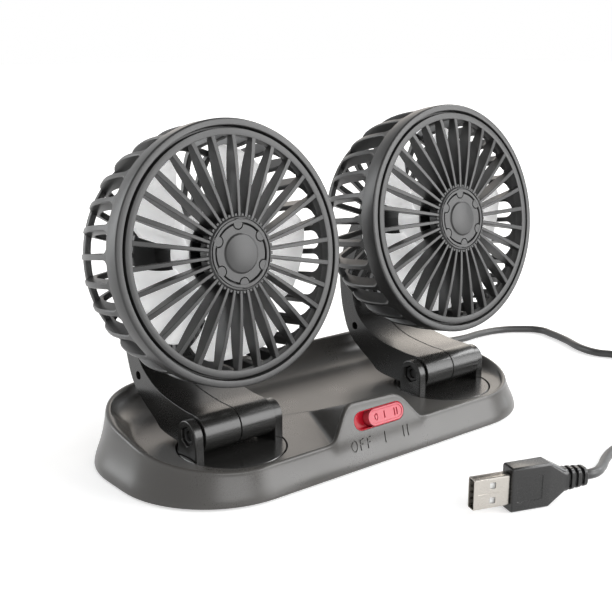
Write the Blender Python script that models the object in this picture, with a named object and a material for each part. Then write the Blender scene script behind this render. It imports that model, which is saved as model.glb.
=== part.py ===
"""Dual head car fan: two caged fan heads on folding arms over one weighted base.

Units are metres, +Z is up, +X is the fan's right as it faces the user and -Y is
the side that the heads blow to. The origin is the middle of the base at the
height of the surface that the fan stands on.
"""
from math import atan, cos, exp, hypot, pi, radians, sin, tan

import bmesh
import bpy
from mathutils import Matrix, Vector

# Driving sizes of the base
BASE_HALF_DEPTH = 0.0478
END_STRAIGHT_HALF = 0.0064
END_MARGIN = 0.0213
FOOT_PROUD = 0.0008
SHELL_WALL = 0.0022
FLOOR_TOP = 0.0120
FLOOR_THICKNESS = 0.0023
WALL_UPRIGHT = 0.0030
WALL_LEAN = 0.0090
WALL_LEAN_FALL = 0.0140
BACK_LEAN_SHARE = 0.35
CREST_FRONT = 0.01195
CREST_BACK = 0.02485
RIM_INSET_LONG_SIDES = 0.0052
RIM_INSET_ENDS = 0.0095
TRAY_REACH_SHARE = 1.6
CORNER_STEPS = 6

# Fits
FIT_GAP = 0.0003
OVERRUN = 0.0010

# Where the two fans stand
HEAD_GAP = 0.0188
FAN_SETBACK = 0.0302

# Turntable and its hinge ears
TURNTABLE_RADIUS = 0.02155
TURNTABLE_THICKNESS = 0.0017
SPIGOT_RADIUS = 0.0147
SPIGOT_WALL = 0.0040
BEARING_BOSS_WALL = 0.0090
BEARING_BOSS_DEPTH = 0.0020
RETAINER_OVERLAP = 0.0040
RETAINER_THICKNESS = 0.0022
RETAINER_PLUG = 0.0018
WIRE_HOLE_RADIUS = 0.0040
EAR_HALF_DEPTH = 0.0063
EAR_THICKNESS = 0.0039
HINGE_RISE = 0.0090
HINGE_OFFSET = 0.0003
HINGE_PIN_RADIUS = 0.0020
HINGE_HEAD_RADIUS = 0.0036
HINGE_HEAD_LENGTH = 0.0020
HEX_NUT_RADIUS = 0.0038
HEX_NUT_LENGTH = 0.0020

# Arm between the base hinge and the head
ARM_HALF_WIDTH = 0.0165
ARM_BARREL_RADIUS = 0.0074
ARM_REACH = 0.0407
ARM_RISE = 0.0615
ARM_TIP_RADIUS = 0.0050
ARM_FRONT_SHARES = ((0.24, 0.125), (0.607, 0.159), (0.877, 0.237), (1.032, 0.341),
                    (1.106, 0.504), (1.103, 0.634), (1.049, 0.780), (0.931, 0.902))
ARM_BACK_SHARES = ((1.233, 0.862), (1.307, 0.699), (1.319, 0.537), (1.258, 0.309),
                   (1.111, 0.114), (0.754, -0.041), (0.572, -0.102))
ARM_CURVE_STEPS = 1
FORK_HALF_GAP = 0.0063
FORK_DEPTH = 0.0110
TILT_PIN_RADIUS = 0.0015
PIN_COVER = 0.0020
ARM_SCREW_RADIUS = 0.0010
ARM_SCREW_HEAD_RADIUS = 0.0015
ARM_SCREW_HEAD_LENGTH = 0.0014
ARM_SCREW_SINK = 0.0050
ARM_SCREW_BITE = 0.0090
ARM_SCREW_SHARES = {"lower": (1.042, 0.205), "upper": (1.209, 0.650)}

# Fan head, with depths measured back from the plane of the front rim's groove
HEAD_RADIUS = 0.0500
RIM_WIDTH = 0.0027
RIM_FRONT = 0.0025
BAND_DEPTH = 0.0050
BAND_DRAFT = 0.0006
SEAT_DEPTH = 0.0012
SEAT_WIDTH = 0.0021
CAGE_DEPTH = 0.0392
REAR_PLATE_SHARE = 0.44
REAR_PLATE_THICKNESS = 0.0028
REAR_HOOP_SHARES = (0.826, 0.8954)
REAR_HOOP_WIDTH = 0.0022
RIB_COUNT = 30
RIB_THICKNESS = 0.0022
RIB_DEPTH = 0.0042
RIB_END_DEPTH = 0.0018
RIB_PROFILE_SHARES = ((0.986, 0.03), (0.950, 0.64), (0.840, 0.96), (0.40, 0.985))
KNUCKLE_RADIUS = 0.0050
PIVOT_BEHIND = 0.0450
LEFT_TILT = radians(9.6)
RIGHT_TILT = radians(9.8)

# Front grille
GRILLE_GROOVE = 0.0010
GRILLE_RING_WIDTH = 0.0018
GRILLE_LIP = 0.0007
GRILLE_LIP_DEPTH = 0.0013
GRILLE_HUB_RADIUS = 0.0133
GRILLE_HUB_WALL = 0.0016
GRILLE_HUB_FRONT = 0.0055
GRILLE_HUB_SKIRT = 0.0010
GRILLE_HUB_FLOOR = 0.0016
GRILLE_HUB_WEB = 0.0012
VANE_THICKNESS_ROOT = 0.0012
VANE_THICKNESS_TIP = 0.0019
VANE_FRONT_SHARES = ((0.0, 0.0), (0.55, 0.25), (1.0, 1.0))
VANE_BACK = 0.0024
CAP_RADIUS = 0.0109
CAP_THICKNESS = 0.0011
CAP_DOME_RADIUS = 0.0072
CAP_DOME_RISE = 0.0006
CAP_NOTCH_RADIUS = 0.0020
CAP_NOTCHES = 6

# Motor and impeller
MOTOR_RADIUS = 0.0125
MOTOR_FRONT = 0.0160
SHAFT_RADIUS = 0.0010
SHAFT_BITE = 0.0060
ROTOR_RADIUS = 0.0147
ROTOR_FRONT = 0.0045
ROTOR_BACK = 0.0152
IMPELLER_SLEEVE_WALL = 0.0012
BLADE_COUNT = 5
BLADE_TIP_MARGIN = 0.0085
BLADE_FRONT = 0.0052
BLADE_RISE = 0.0110
BLADE_THICKNESS = 0.0013
BLADE_ROOT_SPAN = radians(44.0)
BLADE_TIP_SPAN = radians(58.0)
BLADE_SWEEP = radians(10.0)
BLADE_SPAN_STEPS = 3
BLADE_CHORD_STEPS = 4

# Switch panel raised from the front wall
PANEL_LEAN = atan(0.3)
PANEL_LEFT = -0.0280
PANEL_RIGHT = 0.0195
PANEL_TOP_LEFT = -0.0190
PANEL_TOP_RIGHT = 0.0075
PANEL_FOOT = 0.0110
PANEL_TOP = 0.0262
PANEL_TOP_DROP = 0.0010
PANEL_SHOULDER_RIGHT = 0.0115
PANEL_SHOULDER_DROP = 0.0032
PANEL_POINT_X = -0.0115
PANEL_REACH = 0.0417
PANEL_WALL = 0.0018
WELL_X = -0.0033
WELL_HEIGHT = 0.0186
WELL_LENGTH = 0.0274
WELL_WIDTH = 0.0080
WELL_DEPTH = 0.0040
WELL_WALL = 0.0005
WELL_FLOOR = 0.0008
KNOB_LENGTH = 0.0187
KNOB_PROUD = 0.0007
KNOB_BASE = 0.0020
STEM_LENGTH = 0.0030
STEM_WIDTH = 0.0020
STEM_BITE = 0.0012
SWITCH_BODY_LENGTH = 0.0150
SWITCH_BODY_WIDTH = 0.0056
SWITCH_BODY_DEPTH = 0.0048
BOARD_LENGTH = 0.0200
BOARD_HEIGHT = 0.0080
BOARD_SHIFT = 0.0020
BOARD_DROP = 0.0030
BOARD_THICKNESS = 0.0012

# Underside
PLATE_THICKNESS = 0.0020
SCREW_END_MARGIN = 0.01325
SCREW_END_Y = -0.0060
SCREW_BACK_X = 0.0460
SCREW_BACK_MARGIN = 0.0178
SCREW_RADIUS = 0.0013
SCREW_HEAD_RADIUS = 0.0028
SCREW_HEAD_LENGTH = 0.0006
SCREW_SINK = 0.0011
SCREW_LENGTH = 0.0070
COLUMN_WALL = 0.0017
FOOT_END_MARGIN = 0.02725
FOOT_SIDE_MARGIN = 0.0178
FOOT_RADIUS = 0.0050
FOOT_THICKNESS = 0.0010

# Cord, strain relief and plug
CORD_DIAMETER = 0.0039
CORD_EXIT_X = 0.0560
CORD_EXIT_HEIGHT = 0.0063
RELIEF_LENGTH = 0.0100
RELIEF_ROOT_RADIUS = 0.0027
RELIEF_TIP_RADIUS = 0.0023
RELIEF_FLANGE_RADIUS = 0.0031
RELIEF_FLANGE_LENGTH = 0.0015
ROUTE_SPACING = 0.0100
ROUTE_FINENESS = 12
BACK_ROUTE = ((0.0568, 0.0680, 0.0045), (0.0650, 0.0765, 0.0025), (0.0790, 0.0775, 0.00215),
              (0.1010, 0.0665, 0.00215), (0.1240, 0.0550, 0.00215), (0.1465, 0.0495, 0.00215),
              (0.1623, 0.0500, 0.00215), (0.1771, 0.0477, 0.00215), (0.1880, 0.0417, 0.00215),
              (0.1954, 0.0329, 0.00215), (0.1941, 0.0231, 0.00215), (0.1907, 0.0114, 0.00215),
              (0.1840, -0.0058, 0.00215), (0.1841, -0.0155, 0.00215), (0.1877, -0.0220, 0.00215),
              (0.1905, -0.0350, 0.00215), (0.1860, -0.0550, 0.00215))
PLUG_ROUTE = ((0.1200, -0.1130, 0.0040), (0.1050, -0.1060, 0.00215), (0.0900, -0.1000, 0.00215),
              (0.0740, -0.1020, 0.0028), (0.0600, -0.1075, 0.0045), (0.0470, -0.1145, 0.0068))
COIL_X = 0.1500
COIL_Y = -0.0880
COIL_OUTER_RADIUS = 0.0280
COIL_PITCH = 0.0044
COIL_LAYER_RISE = 0.00435
COIL_TURNS_IN = 3
COIL_TURNS_OUT = 2.75
COIL_POINTS_PER_TURN = 24
COIL_REST = 0.00215
PLUG_X = 0.0322
PLUG_Y = -0.1171
PLUG_TURN = radians(-18.7)
PLUG_NECK_LENGTH = 0.0100
PLUG_NECK_WIDTH = 0.0072
PLUG_NECK_THICKNESS = 0.0066
PLUG_NECK_GROOVE = 0.0009
PLUG_ROOT_WIDTH = 0.0092
PLUG_TAPER_LENGTH = 0.0075
PLUG_BODY_LENGTH = 0.0157
PLUG_BODY_WIDTH = 0.0174
PLUG_BODY_THICKNESS = 0.0076
PLUG_SHELL_LENGTH = 0.0145
PLUG_SHELL_WIDTH = 0.0120
PLUG_SHELL_THICKNESS = 0.0045
PLUG_SHELL_WALL = 0.0004
PLUG_HOLE_SIZE = 0.0025
PLUG_HOLE_APART = 0.0058
PLUG_HOLE_BACK = 0.0076
PLUG_TONGUE_THICKNESS = 0.0016
PLUG_TONGUE_SHORT = 0.0012

# Sizes that follow from the ones above
HEAD_SPACING = 2 * HEAD_RADIUS + HEAD_GAP
FAN_LINE = FAN_SETBACK - BASE_HALF_DEPTH
BASE_HALF_LENGTH = HEAD_SPACING / 2 + TURNTABLE_RADIUS + END_MARGIN
BASE_CORNER_RADIUS = BASE_HALF_DEPTH - END_STRAIGHT_HALF
FLOOR_UNDER = FLOOR_TOP - FLOOR_THICKNESS
TURNTABLE_UNDER = FLOOR_TOP - TURNTABLE_THICKNESS
BEARING_BOSS_BOTTOM = FLOOR_UNDER - BEARING_BOSS_DEPTH
EAR_INNER = ARM_HALF_WIDTH + FIT_GAP
EAR_OUTER = EAR_INNER + EAR_THICKNESS
PLATE_TOP = FOOT_PROUD + PLATE_THICKNESS
SWITCH_TRAVEL = WELL_LENGTH - 2 * WELL_WALL - 4 * FIT_GAP - KNOB_LENGTH
RIM_INNER = HEAD_RADIUS - RIM_WIDTH
REAR_PLATE_RADIUS = HEAD_RADIUS * REAR_PLATE_SHARE
REAR_HOOP_RADIUS = HEAD_RADIUS * REAR_HOOP_SHARES[0]
REAR_HOOP_DEPTH = CAGE_DEPTH * REAR_HOOP_SHARES[1]
BLADE_TIP_RADIUS = HEAD_RADIUS - BLADE_TIP_MARGIN
GRILLE_OUTER = RIM_INNER - GRILLE_GROOVE
GRILLE_INNER = GRILLE_OUTER - GRILLE_RING_WIDTH
CORD_RADIUS = CORD_DIAMETER / 2
BACK = Matrix.Rotation(-pi / 2, 4, "X")
SIDE = Matrix.Rotation(pi / 2, 4, "Y")
ACROSS = Matrix(((0, 0, 1, 0), (1, 0, 0, 0), (0, 1, 0, 0), (0, 0, 0, 1)))
FACING = Matrix(((1, 0, 0, 0), (0, 0, -1, 0), (0, 1, 0, 0), (0, 0, 0, 1)))


def clear_scene():
    """Remove whatever objects the file starts with."""
    for existing in list(bpy.data.objects):
        bpy.data.objects.remove(existing, do_unlink=True)


def material(name, colour, roughness, metallic=0.0):
    """A plain Principled material."""
    made = bpy.data.materials.new(name)
    made.use_nodes = True
    shader = made.node_tree.nodes["Principled BSDF"]
    shader.inputs["Base Color"].default_value = (*colour, 1.0)
    shader.inputs["Roughness"].default_value = roughness
    shader.inputs["Metallic"].default_value = metallic
    made.diffuse_color = (*colour, 1.0)
    return made


def axis_empty(name, place, turn=0.0, parent=None):
    """An empty on a joint axis, turned about X, that carries what moves there."""
    empty = bpy.data.objects.new(name, None)
    empty.location = place
    empty.rotation_euler = (turn, 0, 0)
    empty.parent = parent
    bpy.context.scene.collection.objects.link(empty)
    return empty


def finish(name, solid, finish_material, parent=None, place=(0, 0, 0), crease=radians(32)):
    """Turn a bmesh into a named, smooth-shaded object."""
    bmesh.ops.recalc_face_normals(solid, faces=solid.faces)
    mesh = bpy.data.meshes.new(name)
    solid.to_mesh(mesh)
    solid.free()
    mesh.shade_smooth()
    mesh.set_sharp_from_angle(angle=crease)
    mesh.materials.append(finish_material)
    made = bpy.data.objects.new(name, mesh)
    made.location = place
    made.parent = parent
    bpy.context.scene.collection.objects.link(made)
    return made


def moved(solid, matrix):
    """Move or turn a bmesh and return it."""
    bmesh.ops.transform(solid, matrix=matrix, verts=solid.verts)
    return solid


def shifted(solid, x=0, y=0, z=0):
    """Slide a bmesh and return it."""
    return moved(solid, Matrix.Translation((x, y, z)))


def loft(loops, closed=False):
    """Skin equal loops of points into one closed body, capped unless it closes on itself."""
    solid = bmesh.new()
    rows = [[solid.verts.new(point) for point in loop] for loop in loops]
    count = len(loops[0])
    pairs = list(zip(rows, rows[1:]))
    if closed:
        pairs.append((rows[-1], rows[0]))
    for low, high in pairs:
        for index in range(count):
            after = (index + 1) % count
            solid.faces.new((low[index], low[after], high[after], high[index]))
    if not closed:
        solid.faces.new(rows[0])
        solid.faces.new(rows[-1])
    bmesh.ops.recalc_face_normals(solid, faces=solid.faces)
    return solid


def prism(outline, low, high):
    """A flat outline in X and Y raised between two heights."""
    return loft([[(x, y, low) for x, y in outline], [(x, y, high) for x, y in outline]])


def turned(profile, segments):
    """Turn a profile of (radius, height) points about Z; a radius of zero closes on the axis."""
    solid = bmesh.new()
    rows = []
    for radius, height in profile:
        if radius == 0:
            rows.append([solid.verts.new((0, 0, height))])
        else:
            angles = [2 * pi * step / segments for step in range(segments)]
            rows.append([solid.verts.new((radius * cos(a), radius * sin(a), height)) for a in angles])
    pairs = list(zip(rows, rows[1:]))
    if len(rows[0]) > 1:
        pairs.append((rows[-1], rows[0]))
    for one, two in pairs:
        for index in range(segments):
            after = (index + 1) % segments
            if len(one) == 1 and len(two) > 1:
                solid.faces.new((one[0], two[after], two[index]))
            elif len(two) == 1 and len(one) > 1:
                solid.faces.new((one[index], one[after], two[0]))
            elif len(one) > 1:
                solid.faces.new((one[index], one[after], two[after], two[index]))
    bmesh.ops.recalc_face_normals(solid, faces=solid.faces)
    return solid


def cylinder(radius, low, high, segments=24):
    """A round bar on Z."""
    return turned(((0, low), (radius, low), (radius, high), (0, high)), segments)


def block(low, high):
    """A box between two corners."""
    outline = ((low[0], low[1]), (high[0], low[1]), (high[0], high[1]), (low[0], high[1]))
    return prism(outline, low[2], high[2])


def joined(*solids):
    """Put separate shapes into one bmesh, still as separate bodies."""
    whole = bmesh.new()
    for solid in solids:
        mesh = bpy.data.meshes.new("joined")
        solid.to_mesh(mesh)
        solid.free()
        whole.from_mesh(mesh)
        bpy.data.meshes.remove(mesh)
    return whole


def scratch_object(solid):
    """A temporary object for one side of a Boolean."""
    mesh = bpy.data.meshes.new("scratch")
    solid.to_mesh(mesh)
    solid.free()
    made = bpy.data.objects.new("scratch", mesh)
    bpy.context.scene.collection.objects.link(made)
    return made


def combined(first, second, operation):
    """Run one exact Boolean on two bmeshes and return the result."""
    body = scratch_object(first)
    tool = scratch_object(second)
    modifier = body.modifiers.new("combine", "BOOLEAN")
    modifier.operation = operation
    modifier.solver = "EXACT"
    modifier.object = tool
    graph = bpy.context.evaluated_depsgraph_get()
    mesh = bpy.data.meshes.new_from_object(body.evaluated_get(graph))
    result = bmesh.new()
    result.from_mesh(mesh)
    for used in (body, tool):
        used_mesh = used.data
        bpy.data.objects.remove(used, do_unlink=True)
        bpy.data.meshes.remove(used_mesh)
    bpy.data.meshes.remove(mesh)
    return result


def union(first, second):
    return combined(first, second, "UNION")


def cut(first, second):
    return combined(first, second, "DIFFERENCE")


def arc(centre, radius, start, end, steps):
    """Points of an arc in a plane, both ends included."""
    angles = [start + (end - start) * step / steps for step in range(steps + 1)]
    return [(centre[0] + radius * cos(a), centre[1] + radius * sin(a)) for a in angles]


def stadium(length, width, steps=6):
    """A round-ended slot outline about the origin, long along its first axis."""
    reach = (length - width) / 2
    right = arc((reach, 0), width / 2, -pi / 2, pi / 2, steps)
    left = arc((-reach, 0), width / 2, pi / 2, 3 * pi / 2, steps)
    return right + left


def spline_point(p0, p1, p2, p3, t):
    """One point of a Catmull-Rom curve between p1 and p2."""
    return 0.5 * ((2 * p1) + (p2 - p0) * t + (2 * p0 - 5 * p1 + 4 * p2 - p3) * t * t
                  + (3 * p1 - p0 - 3 * p2 + p3) * t * t * t)


def smooth(points, steps):
    """A smooth curve through hand-set points."""
    knots = [Vector(point) for point in points]
    knots = [2 * knots[0] - knots[1]] + knots + [2 * knots[-1] - knots[-2]]
    curve = []
    for index in range(1, len(knots) - 2):
        for step in range(steps):
            curve.append(spline_point(*knots[index - 1:index + 3], step / steps))
    curve.append(knots[-2])
    return curve


def evenly(points, spacing):
    """Re-space a fine polyline at nearly equal steps, ends kept."""
    travelled = [0.0]
    for one, two in zip(points, points[1:]):
        travelled.append(travelled[-1] + (two - one).length)
    count = max(2, round(travelled[-1] / spacing))
    chosen = []
    index = 0
    for step in range(count + 1):
        goal = travelled[-1] * step / count
        while index < len(points) - 2 and travelled[index + 1] < goal:
            index += 1
        part = (goal - travelled[index]) / (travelled[index + 1] - travelled[index])
        chosen.append(points[index].lerp(points[index + 1], min(part, 1.0)))
    return chosen


def laid_route(points):
    """A smooth route, evenly stepped, whose first and last stretches stay straight."""
    fine = smooth(points, ROUTE_FINENESS)
    return [fine[0]] + evenly(fine[ROUTE_FINENESS:-ROUTE_FINENESS], ROUTE_SPACING) + [fine[-1]]


# Base

def wall_inset(height, facing_back):
    """How far the outer wall leans in at a height; the back wall stands steeper."""
    lean = WALL_LEAN * (1 - exp(-max(0.0, height - WALL_UPRIGHT) / WALL_LEAN_FALL))
    return lean * (1 - (1 - BACK_LEAN_SHARE) * max(0.0, facing_back) ** 2)


def rim_inset(normal_x):
    """How far the rim's inner edge stands in, wider at the two ends."""
    return RIM_INSET_LONG_SIDES + (RIM_INSET_ENDS - RIM_INSET_LONG_SIDES) * normal_x ** 2


def crest_height(y):
    """The rim rises evenly from front to back."""
    return CREST_FRONT + (CREST_BACK - CREST_FRONT) * (y + BASE_HALF_DEPTH) / (2 * BASE_HALF_DEPTH)


def base_loop(rule):
    """One loop around the base; rule gives (inset, height) from the outline's place and facing."""
    loop = []
    corners = ((1, 1, 0), (-1, 1, pi / 2), (-1, -1, pi), (1, -1, 3 * pi / 2))
    for side_x, side_y, start in corners:
        centre_x = side_x * (BASE_HALF_LENGTH - BASE_CORNER_RADIUS)
        centre_y = side_y * (BASE_HALF_DEPTH - BASE_CORNER_RADIUS)
        for step in range(CORNER_STEPS + 1):
            angle = start + pi / 2 * step / CORNER_STEPS
            normal = (cos(angle), sin(angle))
            edge_y = centre_y + BASE_CORNER_RADIUS * normal[1]
            inset, height = rule(normal, edge_y)
            radius = BASE_CORNER_RADIUS - inset
            loop.append((centre_x + radius * normal[0], centre_y + radius * normal[1], height))
    return loop


def rim_section(normal, edge_y):
    """The rim's outer inset, inner inset, half width and crest at one place."""
    inner = rim_inset(normal[0])
    crest = crest_height(edge_y - inner * normal[1])
    outer = wall_inset(crest, normal[1])
    half = (inner - outer) / 2
    return outer, inner, half, crest


def level_rule(height):
    return lambda normal, edge_y: (wall_inset(height, normal[1]), height)


def upper_rule(share, start):
    """A loop part of the way from a fixed height to the foot of the rounded crest."""
    def rule(normal, edge_y):
        _, _, half, crest = rim_section(normal, edge_y)
        height = start + (crest - half - start) * share
        return wall_inset(height, normal[1]), height
    return rule


def crest_rule(angle):
    """A loop on the rounded crest; angle runs from its outer foot at zero to its inner foot at pi."""
    def rule(normal, edge_y):
        outer, _, half, crest = rim_section(normal, edge_y)
        return outer + half * (1 - cos(angle)), crest - half + half * sin(angle)
    return rule


def tray_rule(angle):
    """A loop on the hollow sweep from the rim's inner foot down to the floor."""
    def rule(normal, edge_y):
        _, inner, half, crest = rim_section(normal, edge_y)
        rise = crest - half - FLOOR_TOP
        reach = TRAY_REACH_SHARE * rise
        return inner + reach * (1 - cos(angle)), FLOOR_TOP + rise * (1 - sin(angle))
    return rule


def under_rule(height):
    return lambda normal, edge_y: (wall_inset(height, normal[1]) + SHELL_WALL, height)


def panel_y(height):
    """The raised switch panel's face, leaning back with height."""
    return -BASE_HALF_DEPTH + height * tan(PANEL_LEAN)


def panel_outline(inset):
    """The panel's corner places (x, height), drawn in by an inset."""
    shoulder = PANEL_TOP - PANEL_SHOULDER_DROP
    return ((PANEL_LEFT + 2 * inset, PANEL_FOOT), (PANEL_TOP_LEFT + inset, PANEL_TOP - inset),
            (PANEL_TOP_RIGHT - inset / 2, PANEL_TOP - PANEL_TOP_DROP - inset),
            (PANEL_SHOULDER_RIGHT - inset, shoulder - inset), (PANEL_RIGHT - 2 * inset, PANEL_FOOT))


def panel_wedge(inset, foot, drop):
    """The housing behind the panel, narrowing to a point on the tray floor."""
    face = [(x, panel_y(z) + inset, max(z, foot)) for x, z in panel_outline(inset)]
    root = [(x, panel_y(foot) + inset, foot - drop) for x in (PANEL_LEFT + 2 * inset,
                                                              PANEL_RIGHT - 2 * inset)]
    point_y = PANEL_REACH - BASE_HALF_DEPTH - 3 * inset
    point = [(PANEL_POINT_X, point_y, z) for z in (foot - drop, foot)]
    solid = bmesh.new()
    for place in face + root + point:
        solid.verts.new(place)
    bmesh.ops.convex_hull(solid, input=solid.verts)
    loose = [vert for vert in solid.verts if not vert.link_faces]
    bmesh.ops.delete(solid, geom=loose, context="VERTS")
    return solid


def panel_frame():
    """The frame of the switch panel: X right, Z up the panel, -Y out of it."""
    place = Vector((WELL_X, panel_y(WELL_HEIGHT), WELL_HEIGHT))
    return Matrix.Translation(place) @ Matrix.Rotation(-PANEL_LEAN, 4, "X")


def fan_sides():
    """Name, side of the middle and resting tilt of each fan."""
    half = HEAD_SPACING / 2
    return (("left", -half, LEFT_TILT), ("right", half, RIGHT_TILT))


def screw_places():
    end_x = BASE_HALF_LENGTH - SCREW_END_MARGIN
    back_y = BASE_HALF_DEPTH - SCREW_BACK_MARGIN
    return ((-end_x, SCREW_END_Y), (end_x, SCREW_END_Y), (-SCREW_BACK_X, back_y), (SCREW_BACK_X, back_y))


def foot_places():
    x = BASE_HALF_LENGTH - FOOT_END_MARGIN
    y = BASE_HALF_DEPTH - FOOT_SIDE_MARGIN
    return ((-x, -y), (x, -y), (-x, y), (x, y))


def relief_wall():
    """Y of the outer face of the back wall where the cord leaves."""
    return BASE_HALF_DEPTH - wall_inset(CORD_EXIT_HEIGHT, 1.0)


def make_base_shell(finishes):
    """The upper moulding: wall, rim, tray, switch housing and bearing bosses."""
    lower = FLOOR_UNDER
    middle = (WALL_UPRIGHT + lower) / 2
    rules = [under_rule(lower), under_rule(WALL_UPRIGHT), under_rule(FOOT_PROUD),
             level_rule(FOOT_PROUD), level_rule(WALL_UPRIGHT), level_rule(middle), level_rule(lower)]
    rules += [upper_rule(1 / 2, lower)]
    rules += [crest_rule(pi * step / 4) for step in range(5)]
    rules += [tray_rule(pi / 2 * step / 3) for step in range(1, 4)]
    shell = loft([base_loop(rule) for rule in rules])
    shell = union(shell, panel_wedge(0, FLOOR_TOP, FLOOR_THICKNESS / 2))
    shell = cut(shell, panel_wedge(PANEL_WALL, FLOOR_TOP, FLOOR_THICKNESS + OVERRUN))
    bosses = []
    for _, x, _ in fan_sides():
        boss = cylinder(SPIGOT_RADIUS + BEARING_BOSS_WALL, BEARING_BOSS_BOTTOM,
                        FLOOR_UNDER + FLOOR_THICKNESS / 2, 18)
        bosses.append(shifted(boss, x, FAN_LINE))
    for x, y in screw_places():
        column = cylinder(SCREW_RADIUS + FIT_GAP + COLUMN_WALL, PLATE_TOP + FIT_GAP,
                          FLOOR_UNDER + FLOOR_THICKNESS / 2, 8)
        bosses.append(shifted(column, x, y))
    shell = union(shell, joined(*bosses))
    cutters = []
    for _, x, _ in fan_sides():
        seat = TURNTABLE_UNDER - FIT_GAP
        bore = SPIGOT_RADIUS + FIT_GAP
        recess = TURNTABLE_RADIUS + FIT_GAP
        low = BEARING_BOSS_BOTTOM - OVERRUN
        top = FLOOR_TOP + OVERRUN
        profile = ((0, low), (bore, low), (bore, seat), (recess, seat), (recess, top), (0, top))
        cutters.append(shifted(turned(profile, 24), x, FAN_LINE))
    for x, y in screw_places():
        top = FOOT_PROUD + SCREW_SINK + SCREW_LENGTH + FIT_GAP
        cutters.append(shifted(cylinder(SCREW_RADIUS + FIT_GAP, PLATE_TOP, top, 8), x, y))
    well = prism(stadium(WELL_LENGTH, WELL_WIDTH), -WELL_DEPTH - OVERRUN, OVERRUN)
    cutters.append(moved(well, panel_frame() @ FACING))
    exit_hole = cylinder(RELIEF_ROOT_RADIUS + FIT_GAP, -SHELL_WALL - 2 * OVERRUN, 2 * OVERRUN, 12)
    place = Matrix.Translation((CORD_EXIT_X, relief_wall(), CORD_EXIT_HEIGHT))
    cutters.append(moved(exit_hole, place @ BACK))
    finish("base_top_shell", cut(shell, joined(*cutters)), finishes["base"])


def make_underside(finishes):
    """Bottom plate, its four screws and four foot pads."""
    def plate_rule(height):
        return lambda normal, edge_y: (SHELL_WALL + FIT_GAP, height)
    plate = loft([base_loop(plate_rule(FOOT_PROUD)), base_loop(plate_rule(PLATE_TOP))])
    cutters = []
    for x, y in screw_places():
        sink = FOOT_PROUD + SCREW_SINK
        profile = ((0, FOOT_PROUD - OVERRUN), (SCREW_HEAD_RADIUS + FIT_GAP, FOOT_PROUD - OVERRUN),
                   (SCREW_HEAD_RADIUS + FIT_GAP, sink), (SCREW_RADIUS + FIT_GAP, sink),
                   (SCREW_RADIUS + FIT_GAP, PLATE_TOP + OVERRUN), (0, PLATE_TOP + OVERRUN))
        cutters.append(shifted(turned(profile, 8), x, y))
    for x, y in foot_places():
        pocket = cylinder(FOOT_RADIUS + FIT_GAP, FOOT_PROUD - OVERRUN, FOOT_THICKNESS + FIT_GAP, 12)
        cutters.append(shifted(pocket, x, y))
    finish("base_bottom_plate", cut(plate, joined(*cutters)), finishes["plastic"])
    for number, (x, y) in enumerate(screw_places(), 1):
        head_top = FOOT_PROUD + SCREW_SINK - FIT_GAP
        tip = FOOT_PROUD + SCREW_SINK + SCREW_LENGTH
        profile = ((0, head_top - SCREW_HEAD_LENGTH), (SCREW_HEAD_RADIUS, head_top - SCREW_HEAD_LENGTH),
                   (SCREW_HEAD_RADIUS, head_top), (SCREW_RADIUS, head_top), (SCREW_RADIUS, tip), (0, tip))
        finish(f"base_screw_{number}", shifted(turned(profile, 8), x, y), finishes["steel"])
    for number, (x, y) in enumerate(foot_places(), 1):
        pad = cylinder(FOOT_RADIUS, 0, FOOT_THICKNESS, 12)
        finish(f"foot_pad_{number}", shifted(pad, x, y), finishes["rubber"])


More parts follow.
